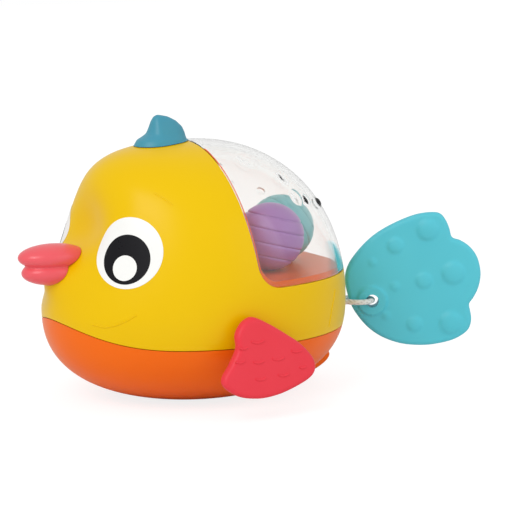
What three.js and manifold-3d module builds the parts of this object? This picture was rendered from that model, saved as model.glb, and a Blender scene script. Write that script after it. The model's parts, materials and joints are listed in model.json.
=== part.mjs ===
// A fish bath toy: a hollow two-part body with a clear dome over two loose balls, soft lips, a soft
// fin on its back, two paddling flippers and a soft tail on a pull cord that winds a spring motor.
// Millimetres. The fish looks along -X, +Y is its right side, +Z is up, and Z = 0 is its flat base.
import * as THREE from 'three';
import { mergeVertices } from 'three/addons/utils/BufferGeometryUtils.js';
import Module from 'manifold-3d';

const wasm = await Module();
wasm.setup();

// Body form
const BODY_LENGTH = 125.2;
const BODY_WIDTH = 104;
const BODY_HEIGHT = 100.6;
const WAIST_HEIGHT = 36;
const BASE_SINK = 0.9;
const HULL_FULLNESS = 2.45;
const BROW_FULLNESS = 2.9;
const BACK_FULLNESS = 2.1;
const SIDE_FULLNESS = 2.15;
const BROW_DIP = 9;
const BROW_DIP_TOP = 97;
const BROW_DIP_SHARPNESS = 1.3;
const HULL_RINGS = 5;
const CROWN_RINGS = 8;
const BODY_SEGMENTS = 28;

// Parting seam between the yellow shell and the orange hull
const SEAM_HEIGHT = 26;
const BOW_RISE = 8;
const BOW_RISE_START = 15;
const BOW_RISE_CURVE = 4;

// Walls and clearances
const SHELL_WALL = 2.2;
const DOME_WALL = 2.2;
const TRAY_WALL = 2;
const SEAT_GAP = 0.3;
const RUN_FIT = 0.08;
const PRESS_GAP = 0.06;
const END_PLAY = 0.4;

// Window cut for the dome, seen from the side
const WINDOW_SILL = 48;
const WINDOW_CORNER_X = 9.7;
const WINDOW_CORNER_RADIUS = 9.5;
const WINDOW_LEAN = THREE.MathUtils.degToRad(6.4);
const TRAY_RIM_OUT = 3;
const TRAY_RIM_IN = 1.8;
const TRAY_RIM_THICKNESS = 1.8;

// Rattle balls
const BALL_RADIUS = 13.25;
const BALL_GROOVE = 0.9;
const BALL_GROOVE_HALF_ANGLE = THREE.MathUtils.degToRad(3);
const BALL_GROOVE_STEP = THREE.MathUtils.degToRad(24);
const BALL_GROOVES = 4;
const PURPLE_BALL_X = 19.5;
const PURPLE_BALL_Y = -25;
const TEAL_BALL_BEARING = THREE.MathUtils.degToRad(49.5);
const BALL_GAP = 0.45;
const BALL_DOME_GAP = 1.2;
const BALL_SHIFT = 0.5;
const BALL_TURN = THREE.MathUtils.degToRad(1);
const TEAL_BALL_TILT = THREE.MathUtils.degToRad(55);

// Lips
const LIPS_HEIGHT = 55.8;
const LIPS_REACH = 14;
const LIPS_HALF_WIDTH = 14;
const UPPER_LIP_HALF_HEIGHT = 4.7;
const LOWER_LIP_HALF_HEIGHT = 4.4;
const LIP_SPREAD = 3;
const LOWER_LIP_SETBACK = 2;
const LIPS_CENTRE = 62;
const LIPS_NECK_HALF_WIDTH = 8;
const LIPS_NECK_HALF_HEIGHT = 3.4;

// Fin on the back
const FIN_RISE = 10.4;
const FIN_DEPTH = 15;
const FIN_PEAK_X = -17;
const FIN_FRONT = 11.5;
const FIN_REAR = 13.4;
const FIN_HALF_THICKNESS = 9;
const FIN_NECK_X = -17.5;
const FIN_NECK_HALF_LENGTH = 5;
const FIN_NECK_HALF_THICKNESS = 2.6;
const FIN_SEGMENTS = 16;

// Barbed feet of the soft pieces, inside the shell wall
const BARB_LEDGE = 2.3;
const BARB_THICKNESS = 1.5;

// Pull cord
const CORD_RADIUS = 1.1;
const CORD_HEIGHT = 29.6;
const CORD_TURNS = 4;
const CORD_PITCH = 2.75;
const CORD_LOOP_STEPS = 24;
const CORD_SIDES = 6;
const CORD_SIDE_GAP = 0.4;
const CORD_SLOT_GAP = 0.6;
const GUIDE_WALL = 0.75;
const GUIDE_BORE_GAP = 0.35;
const GUIDE_LIP = 0.8;
const GUIDE_FLANGE_RADIUS = 3.8;
const GUIDE_FLANGE_THICKNESS = 1.5;
const GUIDE_FLANGE_SETBACK = 1.3;
const FERRULE_LENGTH = 5;
const FERRULE_RADIUS = 2.8;
const FERRULE_TAPER = 1;

// Tail
const TAIL_STANDOFF = 14.25;
const TAIL_YAW = THREE.MathUtils.degToRad(-30);
const TAIL_THICKNESS = 5;
const TAIL_EDGE = 1.6;
const TAIL_STEPS = 46;
const EYELET_OFFSET = 6;
const EYELET_RADIUS = 2.7;
const EYELET_RING_RADIUS = 6;
const EYELET_RING_RISE = 1;
const LOOP_RADIUS = 6.2;
const BUMP_RISE_SHARE = 0.3;

// Flippers and their axle
const AXLE_X = -5;
const AXLE_HEIGHT = 29;
const AXLE_RADIUS = 2;
const FLIPPER_CLEARANCE = 1.8;
const FLIPPER_THICKNESS = 4.4;
const FLIPPER_EDGE = 1.7;
const FLIPPER_STEPS = 36;
const FLIPPER_LEAN = 0.2;
const FLIPPER_HUB_RADIUS = 7;
const FLIPPER_BORE_DEPTH = 4.2;
const BUSH_WALL = 2;
const BUSH_FLANGE_RADIUS = 5.6;
const BUSH_FLANGE_THICKNESS = 1.8;
const BUSH_LENGTH = 7.6;
const BUSH_LIP = 0.9;

// Gear train of the spring motor
const GEAR_MODULE = 1;
const REEL_TEETH = 22;
const IDLER_TEETH = 14;
const PINION_TEETH = 10;
const PRESSURE_ANGLE = THREE.MathUtils.degToRad(25);
const TOOTH_RISE = 0.8;
const TOOTH_ROOT = 1.1;
const BACKLASH = 0.18;
const FLANK_STEPS = 2;
const GEAR_WIDTH = 3.5;
const IDLER_SWING = THREE.MathUtils.degToRad(-40);
const DRUM_RADIUS = 7.6;
const DRUM_FLANGE_RADIUS = 11;
const DRUM_FLANGE_THICKNESS = 1.5;
const ARBOR_RADIUS = 3.4;
const PIN_RADIUS = 1.5;
const IDLER_HUB_RADIUS = 3;
const PINION_HUB_RADIUS = 3.4;

// Mainspring
const SPRING_WIDTH = 6;
const SPRING_STRIP = 0.5;
const SPRING_PITCH = 1.7;
const SPRING_TURNS = 4.5;
const SPRING_SIDE_GAP = 0.3;
const SPRING_TURN_STEPS = 16;

// Motor case and its ears
const CASE_WALL = 1.8;
const CASE_AXLE_ROOM = 7.5;
const CASE_GEAR_GAP = 1.6;
const CASE_CORNER_STEPS = 20;
const EAR_HEIGHT = 16;
const EAR_THICKNESS = 2.5;
const EAR_WIDTH = 8;
const EAR_REACH = 8;
const EAR_FRONT_X = 3;
const EAR_REAR_X = 30;
const EAR_BOSS_RADIUS = 3.6;

// Screws
const SCREW_RADIUS = 1.25;
const SCREW_HEAD_RADIUS = 2.6;
const SCREW_HEAD_HEIGHT = 1.9;
const SCREW_HOLE_GAP = 0.3;
const SCREW_THREAD_GAP = 0.05;
const HULL_SCREW_SEAT = 15;
const HULL_SCREW_LENGTH = 18;
const EAR_SCREW_LENGTH = 7;
const POST_WALL = 2.6;
const RECESS_WALL = 1.5;
const FRONT_POST_X = -20;
const FRONT_POST_Y = 9.5;
const REAR_POST_X = 20;
const REAR_POST_Y = 32;
const POST_RIB = 2;
const PILOT_SPARE = 1;

// Heel under the stern
const HEEL_HALF_WIDTH = 9;
const HEEL_REACH = 54.5;
const HEEL_TOP = 12;
const HEEL_EDGE = 1.2;
const HEEL_FLAT_END = 38;
const HEEL_BEND_HEIGHT = 6.6;
const HEEL_BACK_HEIGHT = 10.2;

const HALF_LENGTH = BODY_LENGTH / 2;
const HALF_WIDTH = BODY_WIDTH / 2;
const ROUND_SIDES = 14;
const POST_SIDES = 10;
const FAR = BODY_LENGTH + BODY_WIDTH;

// Solids from three.js geometry, joined and cut as manifolds
function solid(geometry) {
  const bare = new THREE.BufferGeometry();
  bare.setAttribute('position', geometry.getAttribute('position').clone());
  if (geometry.index) bare.setIndex(geometry.index.clone());
  const merged = mergeVertices(bare, 1e-4);
  const corners = Array.from(merged.index.array);
  const triangles = [];
  for (let i = 0; i < corners.length; i += 3) {
    const [a, b, c] = corners.slice(i, i + 3);
    if (a !== b && b !== c && c !== a) triangles.push(a, b, c);
  }
  return new wasm.Manifold(new wasm.Mesh({
    numProp: 3,
    vertProperties: new Float32Array(merged.getAttribute('position').array),
    triVerts: new Uint32Array(triangles),
  }));
}

function geometryOf(manifold) {
  const mesh = manifold.getMesh();
  const geometry = new THREE.BufferGeometry();
  geometry.setAttribute('position', new THREE.BufferAttribute(new Float32Array(mesh.vertProperties), 3));
  geometry.setIndex(new THREE.BufferAttribute(new Uint32Array(mesh.triVerts), 1));
  geometry.computeVertexNormals();
  return geometry;
}

function join(first, ...others) {
  return others.reduce((whole, other) => whole.add(other), first);
}

function cut(first, ...others) {
  return others.reduce((whole, other) => whole.subtract(other), first);
}

// Closed stack of rings of equal count, with a fan at each end
function loft(rings, lowEnd, highEnd) {
  const count = rings[0].length;
  const points = [lowEnd, ...rings.flat(), highEnd];
  const last = points.length - 1;
  const index = [];
  for (let j = 0; j < count; j += 1) {
    const k = (j + 1) % count;
    index.push(0, 1 + k, 1 + j);
    for (let i = 0; i < rings.length - 1; i += 1) {
      const low = 1 + i * count;
      const high = low + count;
      index.push(low + j, low + k, high + k, low + j, high + k, high + j);
    }
    const top = 1 + (rings.length - 1) * count;
    index.push(top + j, top + k, last);
  }
  const geometry = new THREE.BufferGeometry();
  const places = points.flatMap((p) => [p.x, p.y, p.z]);
  geometry.setAttribute('position', new THREE.Float32BufferAttribute(places, 3));
  geometry.setIndex(index);
  return geometry;
}

// Outline in the XZ plane, carried along Y from y0 to y1
function prism(shape, y0, y1, curveSegments = 5) {
  const geometry = new THREE.ExtrudeGeometry(shape, { depth: y1 - y0, bevelEnabled: false, curveSegments });
  return solid(geometry.rotateX(Math.PI / 2).translate(0, y1, 0));
}

function shapeOf(points) {
  return new THREE.Shape(points.map(([x, z]) => new THREE.Vector2(x, z)));
}

function smoothShape(points, steps) {
  const knots = points.map(([x, z]) => new THREE.Vector3(x, z, 0));
  const curve = new THREE.CatmullRomCurve3(knots, true, 'centripetal');
  return new THREE.Shape(curve.getPoints(steps).slice(0, -1).map((p) => new THREE.Vector2(p.x, p.y)));
}

function block(x0, x1, y0, y1, z0, z1) {
  const geometry = new THREE.BoxGeometry(x1 - x0, y1 - y0, z1 - z0);
  return solid(geometry.translate((x0 + x1) / 2, (y0 + y1) / 2, (z0 + z1) / 2));
}

// Turned piece: closed profile of [radius, distance along the axis], on an axis along X, Y or Z
function turned(profile, axis, at, sides = ROUND_SIDES) {
  const points = profile.map(([radius, along]) => new THREE.Vector2(radius, along));
  const geometry = new THREE.LatheGeometry(points, sides);
  if (axis === 'x') geometry.rotateZ(-Math.PI / 2);
  if (axis === 'z') geometry.rotateX(Math.PI / 2);
  return solid(geometry.translate(...at));
}

function rod(radius, from, to, axis, at, sides = ROUND_SIDES) {
  return turned([[0, from], [radius, from], [radius, to], [0, to]], axis, at, sides);
}

// Oval rod along X or Z, with its half sizes across
function ovalRod(halfY, halfOther, from, to, axis, at) {
  const geometry = new THREE.CylinderGeometry(1, 1, to - from, ROUND_SIDES).translate(0, (from + to) / 2, 0);
  if (axis === 'x') geometry.rotateZ(-Math.PI / 2).scale(1, halfOther, halfY);
  if (axis === 'x') geometry.rotateX(Math.PI / 2);
  if (axis === 'z') geometry.rotateX(Math.PI / 2).scale(halfOther, halfY, 1);
  return solid(geometry.translate(...at));
}

function mirrored(manifold) {
  const geometry = geometryOf(manifold).scale(1, -1, 1);
  const index = Array.from(geometry.index.array);
  for (let i = 0; i < index.length; i += 3) [index[i + 1], index[i + 2]] = [index[i + 2], index[i + 1]];
  geometry.setIndex(index);
  return solid(geometry);
}

// Body surface: level runs from -1 at the base edge, over 0 at the waist, to 1 at the crown
function hullShare(z) {
  const drop = (WAIST_HEIGHT - z) / (WAIST_HEIGHT + BASE_SINK);
  return (1 - drop ** HULL_FULLNESS) ** (1 / HULL_FULLNESS);
}

function crownShare(rise, fullness) {
  return Math.max(0, 1 - rise ** fullness) ** (1 / fullness);
}

function browDip(z) {
  const share = (z - WAIST_HEIGHT) / (BROW_DIP_TOP - WAIST_HEIGHT);
  return share > 0 && share < 1 ? BROW_DIP * Math.sin(Math.PI * share) ** BROW_DIP_SHARPNESS : 0;
}

function section(level) {
  if (level <= 0) {
    const baseTurn = Math.asin((WAIST_HEIGHT / (WAIST_HEIGHT + BASE_SINK)) ** (HULL_FULLNESS / 2));
    const drop = Math.sin(-level * baseTurn) ** (2 / HULL_FULLNESS);
    const z = WAIST_HEIGHT - (WAIST_HEIGHT + BASE_SINK) * drop;
    const share = hullShare(z);
    return { z, front: HALF_LENGTH * share, rear: HALF_LENGTH * share, side: HALF_WIDTH * share };
  }
  const rise = Math.sin((level * Math.PI) / 2) ** (2 / SIDE_FULLNESS);
  const z = WAIST_HEIGHT + (BODY_HEIGHT - WAIST_HEIGHT) * rise;
  return {
    z,
    front: HALF_LENGTH * crownShare(rise, BROW_FULLNESS) - browDip(z),
    rear: HALF_LENGTH * crownShare(rise, BACK_FULLNESS),
    side: HALF_WIDTH * crownShare(rise, SIDE_FULLNESS),
  };
}

function bodyPoint(level, angle) {
  const { z, front, rear, side } = section(level);
  const along = Math.cos(angle);
  return new THREE.Vector3((along > 0 ? rear : front) * along, side * Math.sin(angle), z);
}

function bodyNormal(level, angle) {
  const step = 1e-4;
  const low = Math.max(-1, level - step);
  const high = Math.min(1 - step, level + step);
  const up = bodyPoint(high, angle).sub(bodyPoint(low, angle));
  const round = bodyPoint(level, angle + step).sub(bodyPoint(level, angle - step));
  return round.cross(up).normalize();
}

// Solid inside the body surface, drawn in by the inset (drawn out where it is negative)
function body(inset) {
  const levels = [];
  for (let i = 0; i < HULL_RINGS; i += 1) levels.push(-1 + i / HULL_RINGS);
  for (let i = 0; i < CROWN_RINGS; i += 1) levels.push(i / CROWN_RINGS);
  const rings = levels.map((level) => Array.from({ length: BODY_SEGMENTS }, (_, j) => {
    const angle = (2 * Math.PI * j) / BODY_SEGMENTS;
    const point = bodyPoint(level, angle).addScaledVector(bodyNormal(level, angle), -inset);
    if (level === -1) point.z = inset;
    return point;
  }));
  return solid(loft(rings, new THREE.Vector3(0, 0, inset), new THREE.Vector3(0, 0, BODY_HEIGHT - inset)));
}

function layer(outerInset, innerInset) {
  return body(outerInset).subtract(body(innerInset));
}

// Parting seam: level along the side, rising to the bow
function seamHeight(x) {
  const share = Math.max(0, (-x - BOW_RISE_START) / (HALF_LENGTH - BOW_RISE_START));
  return SEAM_HEIGHT + BOW_RISE * share ** BOW_RISE_CURVE;
}

function belowSeam(lift) {
  const bowSteps = 10;
  const outline = [[-FAR, -FAR], [FAR, -FAR], [FAR, SEAM_HEIGHT + lift]];
  for (let i = 0; i <= bowSteps; i += 1) {
    const x = -BOW_RISE_START - ((HALF_LENGTH - BOW_RISE_START) * i) / bowSteps;
    outline.push([x, seamHeight(x) + lift]);
  }
  outline.push([-FAR, seamHeight(-HALF_LENGTH) + lift]);
  return prism(shapeOf(outline), -FAR, FAR);
}

// Window cut: leaning front edge, rounded corner and level sill, grown or shrunk by an offset
function windowCut(grow) {
  const radius = WINDOW_CORNER_RADIUS + grow;
  const cornerZ = WINDOW_SILL + WINDOW_CORNER_RADIUS;
  const edgeX = WINDOW_CORNER_X - radius * Math.cos(WINDOW_LEAN);
  const edgeZ = cornerZ - radius * Math.sin(WINDOW_LEAN);
  const shape = new THREE.Shape();
  shape.moveTo(FAR, cornerZ - radius);
  shape.lineTo(FAR, FAR);
  shape.lineTo(edgeX - (FAR - edgeZ) * Math.tan(WINDOW_LEAN), FAR);
  shape.lineTo(edgeX, edgeZ);
  shape.absarc(WINDOW_CORNER_X, cornerZ, radius, Math.PI + WINDOW_LEAN, 1.5 * Math.PI, false);
  return prism(shape, -FAR, FAR);
}

// Rear reach of the hull at the height of the cord
const STERN_X = HALF_LENGTH * hullShare(CORD_HEIGHT);
const TAIL_AXIS_X = STERN_X + TAIL_STANDOFF;
const FIN_TOP = BODY_HEIGHT + FIN_RISE;
const BARB_INSET = SHELL_WALL + SEAT_GAP;

// Screw posts and bosses
const POST_PLACES = [-1, 1].flatMap((side) => [
  [FRONT_POST_X, side * FRONT_POST_Y],
  [REAR_POST_X, side * REAR_POST_Y],
]);
const POST_RADIUS = SCREW_RADIUS + POST_WALL;
const RECESS_RADIUS = SCREW_HEAD_RADIUS + SCREW_HOLE_GAP;
const BOSS_RADIUS = RECESS_RADIUS + RECESS_WALL;

// Gear train: axle, idler and reel in the XZ plane
const pitchRadius = (teeth) => (GEAR_MODULE * teeth) / 2;
const AXLE = { x: AXLE_X, z: AXLE_HEIGHT };
const IDLER_DISTANCE = pitchRadius(PINION_TEETH) + pitchRadius(IDLER_TEETH);
const IDLER = {
  x: AXLE.x + IDLER_DISTANCE * Math.cos(IDLER_SWING),
  z: AXLE.z + IDLER_DISTANCE * Math.sin(IDLER_SWING),
};
const WOUND_RADIUS = DRUM_RADIUS + SEAT_GAP + CORD_RADIUS;
const REEL_DISTANCE = pitchRadius(IDLER_TEETH) + pitchRadius(REEL_TEETH);
const REEL_Z = CORD_HEIGHT - WOUND_RADIUS;
const REEL = { x: IDLER.x + Math.sqrt(REEL_DISTANCE ** 2 - (REEL_Z - IDLER.z) ** 2), z: REEL_Z };

// Motor stations along Y
const GEAR_Y1 = -(CORD_RADIUS + CORD_SIDE_GAP);
const GEAR_Y0 = GEAR_Y1 - GEAR_WIDTH;
const DRUM_Y1 = CORD_TURNS * CORD_PITCH + CORD_RADIUS + CORD_SIDE_GAP;
const CASE_Y0 = GEAR_Y0 - SPRING_WIDTH - 2 * SPRING_SIDE_GAP;
const CASE_Y1 = DRUM_Y1 + DRUM_FLANGE_THICKNESS + END_PLAY;
const BLADE_Y = HALF_WIDTH + FLIPPER_CLEARANCE;
const EAR_PLACES = {
  left: CASE_Y0 - CASE_WALL - EAR_REACH / 2,
  right: CASE_Y1 + CASE_WALL + EAR_REACH / 2,
};

function gearShape(teeth, phase) {
  const pitch = pitchRadius(teeth);
  const base = pitch * Math.cos(PRESSURE_ANGLE);
  const tip = pitch + TOOTH_RISE * GEAR_MODULE;
  const root = pitch - TOOTH_ROOT * GEAR_MODULE;
  const involute = (angle) => Math.tan(angle) - angle;
  const halfAtPitch = ((Math.PI * GEAR_MODULE) / 2 - BACKLASH) / (2 * pitch);
  const halfAt = (radius) => halfAtPitch + involute(PRESSURE_ANGLE) - involute(Math.acos(base / radius));
  const foot = Math.max(base, root);
  const flank = [[root, halfAt(foot)]];
  for (let i = 0; i <= FLANK_STEPS; i += 1) {
    const radius = foot + ((tip - foot) * i) / FLANK_STEPS;
    if (radius > root) flank.push([radius, halfAt(radius)]);
  }
  const points = [];
  for (let tooth = 0; tooth < teeth; tooth += 1) {
    const centre = phase + (2 * Math.PI * tooth) / teeth;
    const rising = flank.map(([radius, half]) => [radius, centre - half]);
    const falling = flank.map(([radius, half]) => [radius, centre + half]).reverse();
    [...rising, ...falling].forEach(([r, a]) => points.push([r * Math.cos(a), r * Math.sin(a)]));
  }
  return shapeOf(points);
}

// Phase of the second gear whose gap faces a tooth of the first along the line of centres
function meshedPhase(first, firstTeeth, firstPhase, second, secondTeeth) {
  const line = Math.atan2(second.z - first.z, second.x - first.x);
  const offset = ((firstPhase - line) * firstTeeth) / (2 * Math.PI) + 0.5;
  return line + Math.PI - (2 * Math.PI * offset) / secondTeeth;
}

const REEL_PHASE = 0;
const IDLER_PHASE = meshedPhase(REEL, REEL_TEETH, REEL_PHASE, IDLER, IDLER_TEETH);
const PINION_PHASE = meshedPhase(IDLER, IDLER_TEETH, IDLER_PHASE, AXLE, PINION_TEETH);

function gear(teeth, phase, centre) {
  const geometry = geometryOf(prism(gearShape(teeth, phase), GEAR_Y0, GEAR_Y1));
  return solid(geometry.translate(centre.x, 0, centre.z));
}

// Body pieces
function upperShell() {
  const posts = POST_PLACES.map(([x, y]) => {
    const top = x === REAR_POST_X ? WINDOW_SILL - TRAY_RIM_OUT - SEAT_GAP : BODY_HEIGHT;
    const post = rod(POST_RADIUS, 0, top, 'z', [x, y, 0], POST_SIDES);
    if (x !== REAR_POST_X) return post;
    const rib = block(x - POST_RIB / 2, x + POST_RIB / 2, Math.min(y, y * 2), Math.max(y, y * 2), 0, top);
    return post.add(rib);
  });
  const skeleton = join(...posts).intersect(body(SHELL_WALL / 2));
  const pilotTop = HULL_SCREW_SEAT + HULL_SCREW_LENGTH + PILOT_SPARE;
  const pilots = POST_PLACES.map(([x, y]) => (
    rod(SCREW_RADIUS + SCREW_THREAD_GAP, 0, pilotTop, 'z', [x, y, 0], POST_SIDES)
  ));
  const shell = cut(layer(0, SHELL_WALL), windowCut(0)).add(skeleton);
  const necks = [lipsNeck(SEAT_GAP), finNeck(SEAT_GAP)];
  return cut(shell, belowSeam(SEAT_GAP), bushHoles(), guideHole(), ...necks, ...pilots);
}

function bushHoles() {
  const radius = AXLE_RADIUS + RUN_FIT + BUSH_WALL + SEAT_GAP;
  const inner = HALF_WIDTH - BUSH_LENGTH - BUSH_FLANGE_THICKNESS;
  const hole = rod(radius, inner, FAR, 'y', [AXLE.x, 0, AXLE.z]);
  return hole.add(mirrored(hole));
}

function guideHole() {
  const radius = CORD_RADIUS + GUIDE_BORE_GAP + GUIDE_WALL + SEAT_GAP;
  return rod(radius, HALF_LENGTH / 2, FAR, 'x', [0, 0, CORD_HEIGHT]);
}

function lowerHull() {
  const bosses = POST_PLACES.map(([x, y]) => rod(BOSS_RADIUS, 0, FAR, 'z', [x, y, 0], POST_SIDES));
  const earBosses = earScrewPlaces().map(([x, y]) => (
    rod(EAR_BOSS_RADIUS, 0, EAR_HEIGHT - SEAT_GAP, 'z', [x, y, 0], POST_SIDES)
  ));
  const skeleton = join(...bosses, ...earBosses).intersect(body(SHELL_WALL / 2));
  const recesses = POST_PLACES.flatMap(([x, y]) => [
    rod(RECESS_RADIUS, -FAR, HULL_SCREW_SEAT, 'z', [x, y, 0], POST_SIDES),
    rod(SCREW_RADIUS + SCREW_HOLE_GAP, -FAR, FAR, 'z', [x, y, 0], POST_SIDES),
  ]);
  const pilotFoot = EAR_HEIGHT + EAR_THICKNESS - EAR_SCREW_LENGTH;
  const earPilots = earScrewPlaces().map(([x, y]) => (
    rod(SCREW_RADIUS + SCREW_THREAD_GAP, pilotFoot, FAR, 'z', [x, y, 0], POST_SIDES)
  ));
  const hull = join(layer(0, SHELL_WALL), skeleton, heel()).intersect(belowSeam(0));
  return cut(hull, ...recesses, ...earPilots, bushHoles(), guideHole());
}

// Heel: a low rounded block under the stern, joined to the hull wall
function heel() {
  const outline = new THREE.Shape();
  const inside = HEEL_REACH / 2;
  outline.moveTo(inside, 0);
  outline.lineTo(HEEL_FLAT_END, 0);
  outline.quadraticCurveTo(HEEL_REACH, HEEL_BEND_HEIGHT, HEEL_REACH, HEEL_BACK_HEIGHT);
  outline.lineTo(HEEL_REACH, HEEL_TOP);
  outline.lineTo(inside, HEEL_TOP);
  const core = prism(outline, -HEEL_HALF_WIDTH + HEEL_EDGE, HEEL_HALF_WIDTH - HEEL_EDGE);
  const cheeks = geometryOf(prism(outline, -HEEL_HALF_WIDTH, HEEL_HALF_WIDTH));
  cheeks.translate(-HEEL_EDGE, 0, 0);
  return core.add(solid(cheeks)).subtract(body(SHELL_WALL / 2)).subtract(block(-FAR, FAR, -FAR, FAR, -FAR, 0));
}

function domeWindow() {
  return layer(0, DOME_WALL).intersect(windowCut(-SEAT_GAP));
}

function ballTray() {
  const seat = Math.max(SHELL_WALL, DOME_WALL) + SEAT_GAP;
  const panel = body(seat).intersect(windowCut(0).subtract(windowCut(-TRAY_WALL)));
  const band = windowCut(TRAY_RIM_OUT).subtract(windowCut(-TRAY_RIM_IN - SEAT_GAP));
  return panel.add(layer(seat, seat + TRAY_RIM_THICKNESS).intersect(band));
}

// Soft lips, with a neck through the shell and a barb behind its wall
function lipsNeck(gap) {
  const width = LIPS_NECK_HALF_WIDTH + gap;
  const height = LIPS_NECK_HALF_HEIGHT + gap;
  const neck = ovalRod(width, height, -LIPS_CENTRE, 0, 'x', [0, 0, LIPS_HEIGHT]);
  return neck.subtract(body(BARB_INSET + BARB_THICKNESS));
}

function lips() {
  const lobe = (halfHeight, z, setback) => {
    const geometry = new THREE.SphereGeometry(1, 20, 8).rotateX(Math.PI / 2);
    geometry.scale(LIPS_REACH - setback, LIPS_HALF_WIDTH - setback, halfHeight);
    return solid(geometry.translate(-LIPS_CENTRE, 0, z));
  };
  const upper = lobe(UPPER_LIP_HALF_HEIGHT, LIPS_HEIGHT + LIP_SPREAD, 0);
  const lower = lobe(LOWER_LIP_HALF_HEIGHT, LIPS_HEIGHT - LIP_SPREAD, LOWER_LIP_SETBACK);
  const pad = ovalRod(
    LIPS_NECK_HALF_WIDTH + BARB_LEDGE, LIPS_NECK_HALF_HEIGHT + BARB_LEDGE, -FAR, 0, 'x', [0, 0, LIPS_HEIGHT],
  );
  const barb = pad.intersect(layer(BARB_INSET, BARB_INSET + BARB_THICKNESS));
  return join(cut(join(upper, lower), body(-SEAT_GAP)), lipsNeck(0), barb);
}

// Soft back fin: half-oval sections of [height, front, rear, thickness], each a share of its own size
const FIN_STATIONS = [
  [0, 1, 1, 1],
  [0.23, 0.96, 0.985, 0.955],
  [0.353, 0.85, 0.955, 0.845],
  [0.427, 0.626, 0.918, 0.733],
  [0.507, 0.461, 0.873, 0.667],
  [0.667, 0.348, 0.731, 0.556],
  [0.827, 0.252, 0.507, 0.422],
  [0.947, 0.139, 0.284, 0.267],
];

function finNeck(gap) {
  const half = FIN_NECK_HALF_LENGTH + gap;
  const thick = FIN_NECK_HALF_THICKNESS + gap;
  const top = FIN_TOP - FIN_DEPTH / 2;
  const neck = ovalRod(thick, half, WAIST_HEIGHT, top, 'z', [FIN_NECK_X, 0, 0]);
  return neck.subtract(body(BARB_INSET + BARB_THICKNESS));
}

function dorsalFin() {
  const rings = FIN_STATIONS.map(([height, front, rear, thick]) => (
    Array.from({ length: FIN_SEGMENTS }, (_, j) => {
      const angle = (2 * Math.PI * j) / FIN_SEGMENTS;
      const along = Math.cos(angle);
      const reach = along > 0 ? FIN_REAR * rear : FIN_FRONT * front;
      return new THREE.Vector3(
        FIN_PEAK_X + reach * along,
        FIN_HALF_THICKNESS * thick * Math.sin(angle),
        FIN_TOP - FIN_DEPTH * (1 - height),
      );
    })
  ));
  const foot = new THREE.Vector3(FIN_PEAK_X, 0, FIN_TOP - FIN_DEPTH);
  const blade = solid(loft(rings, foot, new THREE.Vector3(FIN_PEAK_X, 0, FIN_TOP)));
  const half = FIN_NECK_HALF_LENGTH + BARB_LEDGE;
  const pad = ovalRod(FIN_NECK_HALF_THICKNESS + BARB_LEDGE, half, WAIST_HEIGHT, FAR, 'z', [FIN_NECK_X, 0, 0]);
  const barb = pad.intersect(layer(BARB_INSET, BARB_INSET + BARB_THICKNESS));
  return join(blade.subtract(body(-SEAT_GAP)), finNeck(0), barb);
}

// Rattle ball with level grooves, turned on its own axis and then tilted into place
function rattleBall(tilt) {
  const pole = Math.PI / 2;
  const profile = [[0, -BALL_RADIUS]];
  const ring = (latitude, radius) => profile.push([radius * Math.cos(latitude), radius * Math.sin(latitude)]);
  const first = (-BALL_GROOVE_STEP * (BALL_GROOVES - 1)) / 2;
  const capSteps = 3;
  const capEdge = first - BALL_GROOVE_HALF_ANGLE;
  for (let i = 1; i < capSteps; i += 1) ring(-pole + ((capEdge + pole) * i) / capSteps, BALL_RADIUS);
  for (let i = 0; i < BALL_GROOVES; i += 1) {
    const groove = first + i * BALL_GROOVE_STEP;
    ring(groove - BALL_GROOVE_HALF_ANGLE, BALL_RADIUS);
    ring(groove, BALL_RADIUS - BALL_GROOVE);
    ring(groove + BALL_GROOVE_HALF_ANGLE, BALL_RADIUS);
    if (i < BALL_GROOVES - 1) ring(groove + BALL_GROOVE_STEP / 2, BALL_RADIUS);
  }
  for (let i = capSteps - 1; i > 0; i -= 1) ring(pole - ((capEdge + pole) * i) / capSteps, BALL_RADIUS);
  profile.push([0, BALL_RADIUS]);
  return solid(geometryOf(turned(profile, 'z', [0, 0, 0])).rotateY(tilt));
}

const BALL_REST = WINDOW_SILL + TRAY_WALL + SEAT_GAP + BALL_RADIUS;

// Room between a ball on the tray floor and the inside of the dome
function domeRoom({ x, y }) {
  const centre = new THREE.Vector3(x, y, BALL_REST);
  const steps = 4 * BODY_SEGMENTS;
  let least = Infinity;
  for (let i = 0; i < steps; i += 1) {
    for (let j = -steps / 2; j <= steps / 2; j += 1) {
      const spot = bodyPoint(i / steps, (Math.PI * j) / steps);
      least = Math.min(least, spot.distanceTo(centre));
    }
  }
  return least - DOME_WALL - BALL_RADIUS;
}

// The purple ball lies to the left and is drawn in from the dome; the teal ball lies against it
function ballPlaces() {
  const purple = { x: PURPLE_BALL_X, y: PURPLE_BALL_Y };
  while (domeRoom(purple) < BALL_DOME_GAP && purple.y < 0) purple.y += BALL_SHIFT;
  const apart = 2 * BALL_RADIUS + BALL_GAP;
  const tealAt = (bearing) => ({
    x: purple.x + apart * Math.cos(bearing),
    y: purple.y + apart * Math.sin(bearing),
  });
  let bearing = TEAL_BALL_BEARING;
  while (domeRoom(tealAt(bearing)) < BALL_DOME_GAP && bearing < Math.PI / 2) bearing += BALL_TURN;
  return { purple, teal: tealAt(bearing) };
}

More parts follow.
